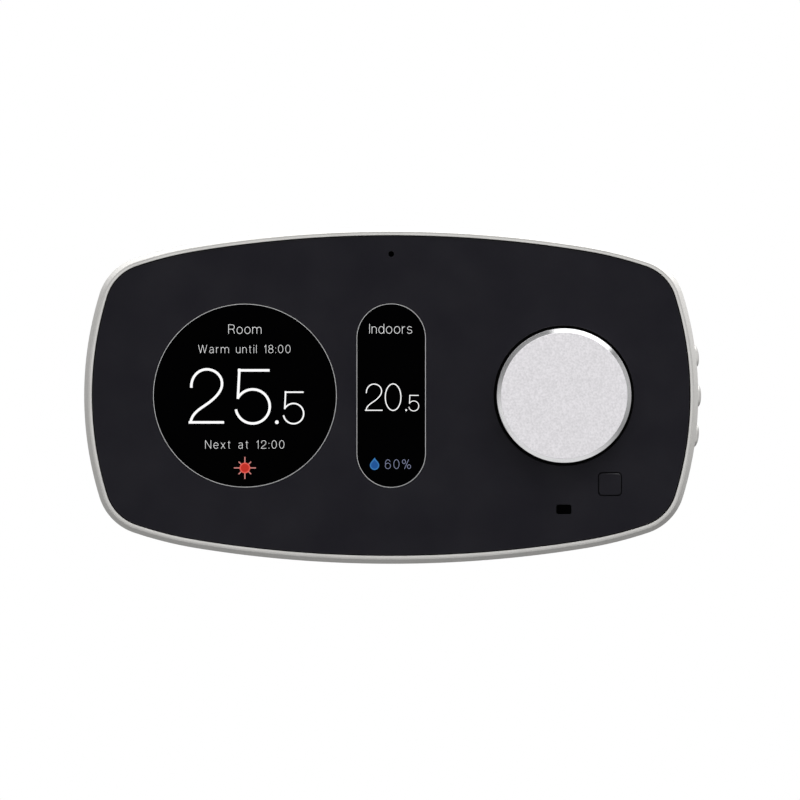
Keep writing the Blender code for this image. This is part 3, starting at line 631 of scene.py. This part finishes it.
def make_front_frame():
    """The silver frame: seen from the front, a sloping rim, a shallow groove and an inner lip with a painted
    highlight.
    """
    front = RIM.front
    rim = rounding(0.0, front - 1.30, 0.12, 0.17, 0, 60, 4)
    groove = [(0.90, front - 0.105), (0.94, front - 0.07), (0.99, front - 0.048)]
    lip = [(LIP_START, front - LIP_BEHIND_FRONT), (1.60, front), (FRAME_WALL, front - 0.005)]
    lip += [(LIP_INSET - 0.015, front - 0.03), (LIP_INSET, front - 0.08)]
    inner = [(LIP_INSET, LEDGE_FRONT), (LEDGE_INSET, LEDGE_FRONT), (LEDGE_INSET, LEDGE_BACK)]
    inner += [(FRAME_WALL, LEDGE_BACK - 0.8), (FRAME_WALL, RIM.back)]
    profile = [(0.15, RIM.back), (0.0, RIM.back + 0.15), *rim, *groove, *lip, *inner]
    made = solid("front_frame_shell", [[(outline(inset), depth) for inset, depth in profile]], cyclic=True)

    add_posts(made)
    rails = []
    for side in (-1, 1):
        rail = moved(rectangle(*RAIL_HALF), RAIL_AT[0], side * RAIL_AT[1])
        rails.append([(rail, 14.6), (rail, 22.6)])
    join(made, rails)
    pilots = []
    for at in corner_points():
        pilot = moved(circle(POST_PILOT_RADIUS, 24), *at)
        pilots.append([(pilot, 9.0), (pilot, 17.6)])
    cut(made, pilots)
    hole = [
        (button_loop(BUTTON_GAP), SIDE_RADIUS - 5.0),
        (button_loop(BUTTON_GAP), SIDE_RADIUS - 0.2),
        (button_loop(BUTTON_GAP + 0.35), SIDE_RADIUS + 0.15),
    ]
    for step in (-1, 0, 1):
        cut(made, [hole], matrix=side_matrix(step))

    finished(made, MATERIALS["silver"], UNIT, "front_frame", 12.0)
    # Faces inside the frame, behind its front, get the near-black: painted shade in the gap round the panel.
    inside = add_finish(made, MATERIALS["gap_painted_shade"])
    # The lip's front faces get the paler copy of the paint: a painted highlight.
    bright = add_finish(made, MATERIALS["silver_lip_painted_highlight"])
    for face in made.data.polygons:
        depth = -face.center.y / MM
        if depth < front - 0.3 and not lies_on_outline(face):
            face.material_index = inside
        elif depth > front - LIP_BEHIND_FRONT:
            face.material_index = bright


def add_posts(frame_shell):
    """The posts that the case screws go into, and the rib that ties each one to the frame's corner."""
    posts = []
    for at in corner_points():
        post = moved(circle(POST_RADIUS, 32), *at)
        posts.append([(post, RIM.back - 0.5), (post, LEDGE_FRONT - 0.5)])
    join(frame_shell, posts)
    loop = rectangle(*RIB_HALF)
    for x, z in corner_points():
        at = Matrix.Translation(((x + math.copysign(2.2, x)) * MM, 0, (z + math.copysign(2.2, z)) * MM))
        turn = Matrix.Rotation(-math.copysign(math.pi / 4, x * z), 4, "Y")
        join(frame_shell, [[(loop, 14.0), (loop, LEDGE_FRONT - 0.6)]], matrix=at @ turn)


def make_rear_cover():
    """The unit's back, with its pocket for the wall plate, its screw bosses and its air slots."""
    back = COVER.back
    edge = COVER.front - COVER_STEP
    top = POCKET_FLOOR + COVER_WALL
    inside = FRAME_WALL + 0.3
    round_edge = rounding(0.0, 0.0, 2.8, 3.4, 0, 90, 12)
    profile = [(inset, back + 3.4 - rise) for inset, rise in reversed(round_edge)]
    profile += [(0.0, edge - 0.15), (0.15, edge), (inside, edge)]
    profile += [(inside, COVER.front), (3.4, COVER.front), (3.4, back + COVER_WALL)]
    made = solid("rear_cover_shell", [[(outline(inset), depth) for inset, depth in profile]])

    half_x = PLATE.half_x + POCKET_GAP
    half_z = PLATE.half_z - CATCH_PROUD + POCKET_GAP
    island = rounded(half_x + COVER_WALL, half_z + COVER_WALL, POCKET_CORNER + 1.0)
    join(made, [[(island, back + 0.6), (island, top)]])
    bosses = []
    for at in corner_points():
        boss = moved(circle(BOSS_RADIUS, 32), *at)
        bosses.append([(boss, back + 0.9), (boss, edge - 0.5)])
    screws = [(place(node).x, place(node).z) for node in ("board_screw_1", "board_screw_2")]
    for at in screws:
        boss = moved(circle(BOARD_BOSS_RADIUS, 24), *at)
        bosses.append([(boss, top - 0.6), (boss, 13.6)])
    join(made, bosses)

    pocket = rounded(half_x, half_z, POCKET_CORNER)
    flared = rounded(half_x + 0.6, half_z + 0.6, POCKET_CORNER + 0.6)
    cut(made, [[(flared, back - 1.0), (flared, back), (pocket, back + 0.6), (pocket, POCKET_FLOOR)]])
    holes = []
    for at in corner_points():
        shape = [(3.0, 0.0), (3.0, back), (2.7, back + 0.3), (2.7, 8.9), (1.55, 8.9), (1.55, 12.0)]
        holes.append([(moved(circle(radius, 32), *at), depth) for radius, depth in shape])
    for at in screws:
        pilot = moved(circle(BOARD_PILOT_RADIUS, 16), *at)
        holes.append([(pilot, top + 0.6), (pilot, 13.9)])
    for node in ("pin_header_left", "pin_header_right"):
        header = place(node)
        window = moved(rounded(9.3, 2.4, 0.6), header.x, header.z)
        holes.append([(window, POCKET_FLOOR - 1.0), (window, top + 1.0)])
    cut(made, holes)
    slots = []
    for side in (-1, 1):
        for i in range(VENTS):
            slot = moved(rectangle(*VENT_HALF), (i - (VENTS - 1) / 2) * VENT_PITCH, side * VENT_Z)
            slots.append([(slot, 5.6), (slot, 9.6)])
    cut(made, slots)
    finished(made, MATERIALS["white_plastic"], UNIT, "rear_cover")


def make_wall_plate():
    """The tray on the wall: a flat floor, a rim, screw seats, catches and the wire opening."""
    half_x = PLATE.half_x
    half_z = PLATE.half_z - CATCH_PROUD
    wall = PLATE_WALL
    shape = [(0.25, 0.0), (0.0, 0.25), (0.0, 5.7), (0.3, 6.0), (wall - 0.3, 6.0), (wall, 5.7), (wall, 2.3)]
    shape.append((wall + 0.3, 2.0))
    tray = [(rounded(half_x - inset, half_z - inset, PLATE_CORNER - inset), depth) for inset, depth in shape]
    made = solid("wall_plate_tray", [tray])
    raised = []
    for side in (-1, 1):
        seat = moved(rounded(6.6, 4.3, 4.2), side * WALL_SCREW_X, 0.0)
        raised.append([(seat, 1.5), (seat, 3.0)])
        for x in (-CATCH_X, CATCH_X):
            catch = moved(rectangle(5.0, CATCH_PROUD), x, side * half_z)
            slim = moved(rectangle(4.7, 0.2), x, side * half_z)
            raised.append([(slim, 3.6), (catch, 3.9), (catch, 4.5), (slim, 4.8)])
    join(made, raised)
    shape = ((0.5, -1.0), (0.5, 0.0), (0.0, 0.5), (0.0, 3.0))
    opening = [(rounded(17.0 + grow, 7.0 + grow, 3.0 + grow), depth) for grow, depth in shape]
    holes = [[(moved(loop, 0.0, 14.0), depth) for loop, depth in opening]]
    for side in (-1, 1):
        slot = moved(rounded(4.6, 2.3, 2.25), side * WALL_SCREW_X, 0.0)
        holes.append([(slot, -1.0), (slot, 4.0)])
    cut(made, holes)
    finished(made, MATERIALS["white_plastic"], WALL, "wall_plate")


# Front


def panel_opening(loop_at, piece):
    """A cutter through the panel round one piece, which leaves a small chamfer at the front."""
    chamfer = 0.08
    front = PANEL.front
    shape = ((0.0, PANEL.back - 1.0), (0.0, front - chamfer), (chamfer, front), (chamfer, front + 1.0))
    return [(moved(loop_at(grow), piece.x, piece.z), depth) for grow, depth in shape]


def key_loop(grow):
    return rounded(KEY_HALF + grow, KEY_HALF + grow, KEY_CORNER + grow)


def pane_loop(grow):
    return rounded(WINDOW.half_x + grow, WINDOW.half_z + grow, PANE_CORNER + max(grow, -0.15))


def round_loop(grow):
    return circle(ROUND.half_x - TRIM_REACH + grow)


def slim_loop(grow):
    return pill(SLIM.half_x - TRIM_REACH + grow, SLIM.half_z - TRIM_REACH + grow)


def make_front_panel():
    """The dark plate inside the frame, with an opening for each thing that it shows."""
    front = PANEL.front
    edge = [(0.0, PANEL.back), (0.0, front - 0.15), (0.05, front - 0.04), (0.15, front)]
    made = solid("front_panel_plate", [[(outline(PANEL_INSET + inset), depth) for inset, depth in edge]])
    openings = [
        panel_opening(lambda grow: round_loop(WINDOW_GAP + grow), ROUND),
        panel_opening(lambda grow: slim_loop(WINDOW_GAP + grow), SLIM),
        panel_opening(lambda grow: circle(KNOB.half_x + KNOB_GAP + grow), KNOB),
        panel_opening(lambda grow: key_loop(KEY_GAP + grow), KEY),
        panel_opening(lambda grow: pane_loop(PANE_GAP + grow), WINDOW),
        panel_opening(lambda grow: circle(SOUND_HOLE_RADIUS + grow, 32), SOUND_TUBE),
    ]
    cut(made, openings)
    finished(made, MATERIALS["panel"], UNIT, "front_panel")


def make_window(name, loop_at, trim, lens):
    """A display's bright outline, and the black glass inside it."""
    half = TRIM_WIDTH / 2
    line = [(half, trim.back), (half, trim.front), (-half, trim.front), (-half, trim.back)]
    sections = [(moved(loop_at(grow), trim.x, trim.z), depth) for grow, depth in line]
    made = solid(f"{name}_window_line", [sections], cyclic=True)
    finished(made, MATERIALS["trim"], UNIT, f"{name}_window_trim")
    inside = -half - LENS_GAP
    edge = [(inside, lens.back), (inside, lens.front - 0.05), (inside - 0.05, lens.front)]
    sections = [(moved(loop_at(grow), lens.x, lens.z), depth) for grow, depth in edge]
    made = solid(f"{name}_glass", [sections])
    finished(made, MATERIALS["glass"], UNIT, f"{name}_lens")


def make_sensor_window():
    """The small pane under the knob, set in from behind."""
    front = WINDOW.front
    shape = [(-0.3, WINDOW.back), (-0.3, PANEL.back), (0.0, PANEL.back), (0.0, front - 0.06), (-0.06, front)]
    made = solid("sensor_pane", [[(pane_loop(grow), depth) for grow, depth in shape]], (WINDOW.x, WINDOW.z))
    finished(made, MATERIALS["glass"], UNIT, "sensor_window")


def make_key():
    """The square key: a stem, a flange behind the panel, and a flat top with a fine chamfer."""
    front = KEY.front
    shape = [(-1.0, KEY.back), (-1.0, 23.0), (0.8, 23.0), (0.8, 24.2), (0.0, 24.2), (0.0, front - 0.16)]
    shape += [(-0.03, front - 0.04), (-0.09, front)]
    made = solid("square_key_cap", [[(key_loop(grow), depth) for grow, depth in shape]], (KEY.x, KEY.z))
    finished(made, MATERIALS["panel"], "key", "square_key")


def make_knob():
    """The knob's cap: a blasted top and side, and the bright edge cut between them."""
    radius = KNOB.half_x
    inside = radius - KNOB_SKIRT
    front = KNOB.front
    profile = [
        (inside, front - 1.4),
        (inside, KNOB.back),
        (radius - 0.2, KNOB.back),
        (radius, KNOB.back + 0.2),
        (radius, front - KNOB_CHAMFER - 0.04),
        (radius - 0.03, front - KNOB_CHAMFER),
        (radius - KNOB_CHAMFER, front - 0.02),
        (radius - KNOB_CHAMFER - 0.04, front),
        (radius - 4.0, front),
    ]
    sections = [(circle(r), depth) for r, depth in profile]
    made = solid("knob_shell", [sections], (KNOB.x, KNOB.z))
    finished(made, MATERIALS["knob_top"], "knob", "knob_cap", 25.0)
    bright = add_finish(made, MATERIALS["knob_edge"])
    for face in made.data.polygons:
        slopes_halfway = abs(face.normal.y + math.sqrt(0.5)) < 0.1
        if slopes_halfway:
            face.material_index = bright


def stem_end(step, name):
    """How far from the side arc's centre a button's stem ends, a little short of its switch."""
    switch = place(f"side_switch_{name}")
    face = switch.x + switch.half_x
    angle = math.asin(step * BUTTON_PITCH / SIDE_RADIUS)
    return (face + STEM_GAP - (HALF_WIDTH - SIDE_RADIUS)) / math.cos(angle)


def button_dome():
    """The part of a button that stands proud: half an ellipsoid on a low rim."""
    rim = SIDE_RADIUS + BUTTON_PROUD * DOME_RIM
    height = SIDE_RADIUS + BUTTON_PROUD - rim
    sections = []
    for step in range(DOME_STEPS + 1):
        turn = math.radians(DOME_LAST * step / DOME_STEPS)
        loop = pill(BUTTON_HALF[0] * math.cos(turn), BUTTON_HALF[1] * math.cos(turn), 24)
        sections.append((loop, rim + height * math.sin(turn) / math.sin(math.radians(DOME_LAST))))
    return sections


def make_side_buttons():
    """Three small domed buttons, each with a flange inside the frame and a stem towards its switch."""
    inside = SIDE_RADIUS - FRAME_WALL - 0.3
    for step, name in zip((-1, 0, 1), BUTTON_NAMES):
        shape = [
            (button_loop(-BUTTON_FLANGE), stem_end(step, name)),
            (button_loop(-BUTTON_FLANGE), inside - BUTTON_FLANGE),
            (button_loop(BUTTON_FLANGE), inside - BUTTON_FLANGE),
            (button_loop(BUTTON_FLANGE), inside),
            (button_loop(0.0), inside),
            *button_dome(),
        ]
        made = solid(f"side_button_{name}_dome", [shape], matrix=side_matrix(step))
        finished(made, MATERIALS["silver"], f"button_{name}", f"side_button_{name}", 35.0)


# Display graphics, as thin lit pieces on the glass

INK_BACK = 0.012
INK_FRONT = 0.032
SUN_RADIUS = 1.2
SUN_LINE = 0.28
RAY_REACH = (2.5, 2.0)
RAY_WIDTH = 0.25

# Letters are drawn with a pen of even width. Here a capital is 10 tall and a small letter 7.3.
CAPITAL = 10.0
SMALL = 7.3
WORD_GAP = 3.2


def bezier(a, b, c, d, steps=16):
    """Points along a cubic curve, its end left out."""
    points = []
    for i in range(steps):
        t = i / steps
        s = 1 - t
        weights = (s**3, 3 * s * s * t, 3 * s * t * t, t**3)
        points.append(tuple(sum(w * p[k] for w, p in zip(weights, (a, b, c, d))) for k in (0, 1)))
    return points


def bow(x, z, half_x, half_z, start, end, steps=24):
    """Points along an ellipse about (x, z), from one angle to another in degrees."""
    angles = [math.radians(start + (end - start) * i / steps) for i in range(steps + 1)]
    return [(x + half_x * math.cos(a), z + half_z * math.sin(a)) for a in angles]


def ring(x, z, half_x, half_z):
    """A closed ellipse, run a little past its start so that the pen's ends meet."""
    return bow(x, z, half_x, half_z, 90, 456, 61)


def stem(x, top=SMALL, foot=0.0):
    """An upright stroke."""
    return [(x, foot), (x, top)]


def arch(x):
    """The shoulder of n and m, which leaves a stem at x and comes down beside it."""
    return bow(x + 2.3, 4.5, 2.3, 2.5, 180, 0) + [(x + 4.6, 0.0)]


TWO = [
    [(0.47, 6.44)] + bow(3.20, 6.67, 2.73, 3.02, 176, 90) + bow(3.20, 7.19, 2.71, 2.50, 88, 0)
    + bezier((5.91, 7.1), (5.91, 5.89), (4.81, 4.61), (3.10, 3.45))
    + bezier((3.10, 3.45), (1.71, 2.50), (0.58, 1.82), (0.35, 0.30)) + [(0.35, 0.30)],
    [(0.0, 0.30), (6.27, 0.30)],
]
FIVE = [
    [(0.62, 9.51), (6.25, 9.51)],
    [(0.91, 9.81), (0.64, 4.46)],
    bow(3.26, 3.12, 3.02, 3.02, 150, -170, 64),
]

# Each character's width and the pen's paths
LETTERS = {
    "I": (0.0, [stem(0.0, CAPITAL)]),
    "N": (6.6, [stem(0.0, CAPITAL), [(0.0, 9.9), (6.6, 0.1)], stem(6.6, CAPITAL)]),
    "R": (
        6.4,
        [
            stem(0.0, CAPITAL),
            [(0.0, 9.55), (3.9, 9.55)] + bow(3.9, 7.2, 2.3, 2.35, 88, -90) + [(0.0, 4.85)],
            [(3.5, 4.85), (5.0, 4.3), (6.4, 0.0)],
        ],
    ),
    "W": (
        10.4,
        [
            [(0.0, 10.0), (2.7, 0.1)],
            [(2.7, 0.1), (5.2, 9.9)],
            [(5.2, 9.9), (7.7, 0.1)],
            [(7.7, 0.1), (10.4, 10.0)],
        ],
    ),
    "a": (
        5.4,
        [
            bow(2.6, 5.3, 2.1, 1.8, 160, 0) + [(4.7, 1.2)] + bow(5.4, 1.2, 0.7, 1.0, 180, 250, 6),
            [(4.7, 4.3)] + bow(2.3, 2.1, 2.1, 2.0, 75, 300) + [(4.7, 1.6)],
        ],
    ),
    "d": (5.3, [ring(2.6, 3.65, 2.6, 3.55), stem(5.3, CAPITAL)]),
    "e": (5.6, [[(0.2, 3.75), (5.5, 3.75)], bow(2.85, 3.65, 2.7, 3.55, 2, 322)]),
    "i": (0.0, [stem(0.0), stem(0.0, CAPITAL, 8.9)]),
    "l": (0.0, [stem(0.0, CAPITAL)]),
    "m": (9.2, [stem(0.0), arch(0.0), arch(4.6)]),
    "n": (4.6, [stem(0.0), arch(0.0)]),
    "o": (5.8, [ring(2.9, 3.65, 2.9, 3.55)]),
    "r": (2.7, [stem(0.0), bow(2.6, 4.4, 2.6, 2.6, 180, 88, 12)]),
    "s": (4.8, [bow(2.4, 5.4, 2.1, 1.75, 20, 238) + bow(2.4, 1.95, 2.4, 1.85, 62, -162)]),
    "t": (3.0, [[(0.0, 7.1), (3.0, 7.1)], [(1.3, 9.2), (1.3, 1.5)] + bow(2.6, 1.5, 1.3, 1.3, 180, 265, 8)]),
    "u": (4.6, [stem(4.6), [(0.0, SMALL), (0.0, 2.8)] + bow(2.3, 2.8, 2.3, 2.6, 180, 360)]),
    "x": (4.8, [[(0.0, 0.0), (4.8, SMALL)], [(0.0, SMALL), (4.8, 0.0)]]),
    "0": (5.8, [ring(2.9, 5.0, 2.8, 4.75)]),
    "1": (2.3, [stem(2.3, CAPITAL), [(0.2, 7.6), (1.5, 8.0), (2.3, 9.9)]]),
    "2": (6.27, TWO),
    "5": (6.3, FIVE),
    "6": (5.9, [ring(2.95, 3.2, 2.75, 2.95), bow(2.95, 5.0, 2.75, 4.75, 178, 35)]),
    "8": (5.9, [ring(2.95, 7.4, 2.35, 2.3), ring(2.95, 2.65, 2.75, 2.45)]),
    "%": (9.0, [ring(1.8, 7.6, 1.7, 2.1), ring(7.2, 2.4, 1.7, 2.1), [(2.4, 0.0), (6.8, 10.0)]]),
    ":": (0.0, [stem(0.0, 1.1), stem(0.0, 6.9, 5.8)]),
    " ": (WORD_GAP, []),
}


def ink(lens):
    """The depths between which lit pieces lie on a lens."""
    return lens.front + INK_BACK, lens.front + INK_FRONT


def ribbon(mesh, path, width, back, front):
    """A flat strip of even width along a path, as a closed body between two depths."""
    left = []
    right = []
    for i, (x, z) in enumerate(path):
        before = path[max(i - 1, 0)]
        after = path[min(i + 1, len(path) - 1)]
        length = math.dist(before, after)
        normal = ((before[1] - after[1]) / length, (after[0] - before[0]) / length)
        left.append((x + normal[0] * width / 2, z + normal[1] * width / 2))
        right.append((x - normal[0] * width / 2, z - normal[1] * width / 2))
    rings = []
    for a, b in zip(left, right):
        corners = ((a, back), (a, front), (b, front), (b, back))
        rings.append([mesh.verts.new((p[0] * MM, -depth * MM, p[1] * MM)) for p, depth in corners])
    for low, high in zip(rings, rings[1:]):
        for i in range(4):
            j = (i + 1) % 4
            mesh.faces.new((low[i], low[j], high[j], high[i]))
    mesh.faces.new(rings[0])
    mesh.faces.new(rings[-1])


def draw(mesh, lens, character, left, baseline, height, pen):
    """One character on a lens, each of its strokes a hair in front of the one before."""
    back, front = ink(lens)
    scale = height / CAPITAL
    for number, path in enumerate(LETTERS[character][1]):
        placed = [(lens.x + left + x * scale, lens.z + baseline + z * scale) for x, z in path]
        ribbon(mesh, placed, pen, back, front + 0.002 * number)


def draw_dot(mesh, lens, x, baseline, radius):
    """A reading's point, which stands on the baseline."""
    back, front = ink(lens)
    dot = moved(circle(radius, 32), lens.x + x, lens.z + baseline + radius)
    add_body(mesh, [(dot, back), (dot, front)])


def lit_piece(name, mesh, material):
    """Makes the finished mesh into a piece of a display."""
    bmesh.ops.recalc_face_normals(mesh, faces=mesh.faces)
    data = bpy.data.meshes.new(name)
    mesh.to_mesh(data)
    mesh.free()
    data.materials.append(MATERIALS[material])
    made = bpy.data.objects.new(name, data)
    bpy.context.scene.collection.objects.link(made)
    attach(made, UNIT)
    return made


def words(name, text, lens, left, right, baseline, height, pen, material):
    """Words that fill the room from left to right: what is over goes evenly between the letters."""
    scale = height / CAPITAL
    room = right - left - pen
    taken = sum(LETTERS[character][0] for character in text) * scale
    gap = (room - taken) / (len(text) - 1)
    mesh = bmesh.new()
    at = left + pen / 2
    for character in text:
        draw(mesh, lens, character, at, baseline, height, pen)
        at += LETTERS[character][0] * scale + gap
    lit_piece(name, mesh, material)


def reading(name, lens, baseline, digits, dot):
    """A large reading, from each digit's left edge, height and pen, and its point's place and radius."""
    mesh = bmesh.new()
    for character, left, height, pen in digits:
        draw(mesh, lens, character, left, baseline, height, pen)
    draw_dot(mesh, lens, dot[0], baseline, dot[1])
    lit_piece(name, mesh, "white_light")


def make_sun(lens, at):
    """A plain sun: a deep red disc, a paler ring, four long rays and four short ones."""
    back, front = ink(lens)
    x = lens.x + at[0]
    z = lens.z + at[1]
    disc = bmesh.new()
    inside = moved(circle(SUN_RADIUS - 0.2, 48), x, z)
    add_body(disc, [(inside, back), (inside, front - 0.006)])
    lit_piece("sun_disc", disc, "deep_red_light")
    edge = bmesh.new()
    middle = SUN_RADIUS - SUN_LINE / 2
    ribbon(edge, ring(x, z, middle, middle), SUN_LINE, back, front)
    lit_piece("sun_ring", edge, "red_light")
    rays = bmesh.new()
    for i in range(8):
        angle = i * math.pi / 4
        radii = (SUN_RADIUS - 0.1, RAY_REACH[i % 2])
        ends = [(x + math.cos(angle) * radius, z + math.sin(angle) * radius) for radius in radii]
        ribbon(rays, ends, RAY_WIDTH, back, front - 0.003)
    lit_piece("sun_rays", rays, "pale_red_light")


def drop_loop(x, z, radius, height):
    """A round foot that two curves draw out to a point."""
    peak = height - radius
    right = bezier((radius, 0.0), (radius, 0.62 * radius), (0.30, 0.66 * peak), (0.0, peak))
    left = [(-a, b) for a, b in reversed(right[1:])]
    foot = arc((0.0, 0.0), radius, math.pi, 2 * math.pi, 24)
    return moved(right + [(0.0, peak)] + left + foot, x, z + radius)


def make_drop(lens, at):
    """A plain drop, its middle deeper in colour than its edge."""
    back, front = ink(lens)
    x = lens.x + at[0]
    z = lens.z + at[1]
    edge = bmesh.new()
    add_body(edge, [(drop_loop(x, z, 1.05, 2.8), depth) for depth in (back, front - 0.006)])
    lit_piece("drop_icon", edge, "blue_light")
    middle = bmesh.new()
    add_body(middle, [(drop_loop(x, z + 0.25, 0.8, 2.05), depth) for depth in (back, front)])
    lit_piece("drop_middle", middle, "deep_blue_light")


def make_graphics():
    """What the two displays show: the round one the set temperature, the slim one what is measured."""
    lens = ROUND_LENS
    words("room_label", "Room", lens, -3.75, 3.75, 14.03, 2.12, 0.11, "grey_light")
    words("program_label", "Warm until 18:00", lens, -10.6, 10.35, 9.63, 1.87, 0.095, "grey_light")
    digits = [("2", -12.75, 12.8, 0.56), ("5", -2.4, 12.8, 0.56), ("5", 8.55, 7.6, 0.33)]
    reading("set_reading", lens, -6.45, digits, (7.25, 0.42))
    words("next_label", "Next at 12:00", lens, -9.0, 8.95, -12.02, 1.88, 0.10, "grey_light")
    make_sun(lens, (0.0, -16.4))

    lens = SLIM_LENS
    words("indoor_label", "Indoors", lens, -4.95, 4.75, 14.08, 2.2, 0.11, "grey_light")
    digits = [("2", -5.92, 6.33, 0.23), ("0", -1.40, 6.33, 0.23), ("5", 3.90, 3.75, 0.18)]
    reading("measured_reading", lens, -3.52, digits, (3.40, 0.22))
    make_drop(lens, (-3.77, -16.85))
    words("humidity_label", "60%", lens, -1.45, 4.50, -16.62, 2.15, 0.13, "slate_light")


# Stage


def make_floor():
    """A pale floor below the object."""
    mesh = bmesh.new()
    loop = rectangle(FLOOR_HALF, FLOOR_HALF)
    mesh.faces.new([mesh.verts.new((x, y, FLOOR_HEIGHT)) for x, y in loop])
    data = bpy.data.meshes.new("floor")
    mesh.to_mesh(data)
    mesh.free()
    floor = bpy.data.objects.new("floor", data)
    bpy.context.scene.collection.objects.link(floor)
    pale = new_material("pale_floor", (0.85, 0.85, 0.85), 0.7)
    vary_roughness(pale, noise(pale, 40.0, 2.0), 0.65, 0.75)
    data.materials.append(pale)
    floor.visible_diffuse = False
    floor.visible_glossy = False


def make_light():
    """A soft light a metre away, above and a little to the right and in front, that faces the object."""
    data = bpy.data.lights.new("top_softbox", "AREA")
    data.shape = "RECTANGLE"
    data.size = 0.5
    data.size_y = 0.3
    data.energy = 3.0
    made = bpy.data.objects.new("top_softbox", data)
    bpy.context.scene.collection.objects.link(made)
    made.location = Vector((0.25, -0.5, 1.0)).normalized()
    made.rotation_euler = made.location.to_track_quat("Z", "Y").to_euler()


def make_world():
    """White behind the object, and a soft surround that lights it.

    The surround is dark straight in front of the object, so that what is glossy there stays black.
    """
    world = bpy.data.worlds.new("studio")
    bpy.context.scene.world = world
    world.use_nodes = True
    nodes = world.node_tree.nodes
    links = world.node_tree.links
    nodes.clear()

    def calculate(operation, *values):
        """One step of arithmetic on sockets and numbers."""
        node = nodes.new("ShaderNodeMath")
        node.operation = operation
        for socket, value in zip(node.inputs, values):
            if isinstance(value, bpy.types.NodeSocket):
                links.new(value, socket)
            else:
                socket.default_value = value
        return node.outputs["Value"]

    where = nodes.new("ShaderNodeTexCoord")
    split = nodes.new("ShaderNodeSeparateXYZ")
    links.new(where.outputs["Generated"], split.inputs["Vector"])
    toward_viewer = calculate("MULTIPLY", split.outputs["Y"], -1.0)
    off_axis = calculate("DIVIDE", calculate("ARCCOSINE", toward_viewer), math.pi)
    around = calculate("ARCTAN2", split.outputs["Z"], split.outputs["X"])
    turn = calculate("FRACT", calculate("DIVIDE", around, 2 * math.pi))

    def ramp(factor, full_turn, stops):
        """Grey levels along a factor, from pairs of an angle and a level."""
        node = nodes.new("ShaderNodeValToRGB")
        elements = node.color_ramp.elements
        for angle, _ in stops[1:-1]:
            elements.new(angle / full_turn)
        for element, (angle, level) in zip(elements, stops):
            element.position = angle / full_turn
            element.color = (level, level, level, 1.0)
        links.new(factor, node.inputs["Fac"])
        return node.outputs["Color"]

    def mixed(factor, first, second):
        """First where the factor is 0, second where it is 1."""
        return calculate("ADD", first, calculate("MULTIPLY", factor, calculate("SUBTRACT", second, first)))

    side = ramp(off_axis, 180, SIDE_HOLDS)
    by_turn = mixed(side, ramp(turn, 360, FRONT_BY_TURN), ramp(turn, 360, SIDE_BY_TURN))
    turned = mixed(ramp(off_axis, 180, TURN_COUNTS), 1.0, by_turn)
    level = calculate("MULTIPLY", ramp(off_axis, 180, SURROUND_BY_AXIS), turned)

    output = nodes.new("ShaderNodeOutputWorld")
    seen = nodes.new("ShaderNodeBackground")
    seen.inputs["Color"].default_value = (1.0, 1.0, 1.0, 1.0)
    lit = nodes.new("ShaderNodeBackground")
    links.new(calculate("MULTIPLY", level, SURROUND_LEVEL), lit.inputs["Strength"])
    ray = nodes.new("ShaderNodeLightPath")
    mix = nodes.new("ShaderNodeMixShader")
    links.new(ray.outputs["Is Camera Ray"], mix.inputs["Fac"])
    links.new(lit.outputs["Background"], mix.inputs[1])
    links.new(seen.outputs["Background"], mix.inputs[2])
    links.new(mix.outputs["Shader"], output.inputs["Surface"])


def make_camera():
    """A long lens straight in front of the object."""
    data = bpy.data.cameras.new("camera")
    data.sensor_width = 36.0
    data.lens = data.sensor_width * CAMERA_DISTANCE / VIEW_WIDTH
    data.clip_start = 0.05
    data.clip_end = 20.0
    made = bpy.data.objects.new("camera", data)
    bpy.context.scene.collection.objects.link(made)
    made.location = (CAMERA_AT[0], -RIM.front * MM - CAMERA_DISTANCE, CAMERA_AT[1])
    made.rotation_euler = (math.pi / 2, 0.0, 0.0)
    bpy.context.scene.camera = made
    bpy.context.scene.view_settings.view_transform = "Standard"


make_camera()
make_world()
make_light()
make_floor()
dress_kept_nodes()
make_wall_plate()
make_rear_cover()
make_front_frame()
make_front_panel()
make_window("round", round_loop, ROUND, ROUND_LENS)
make_window("slim", slim_loop, SLIM, SLIM_LENS)
make_sensor_window()
make_key()
make_knob()
make_side_buttons()
make_graphics()
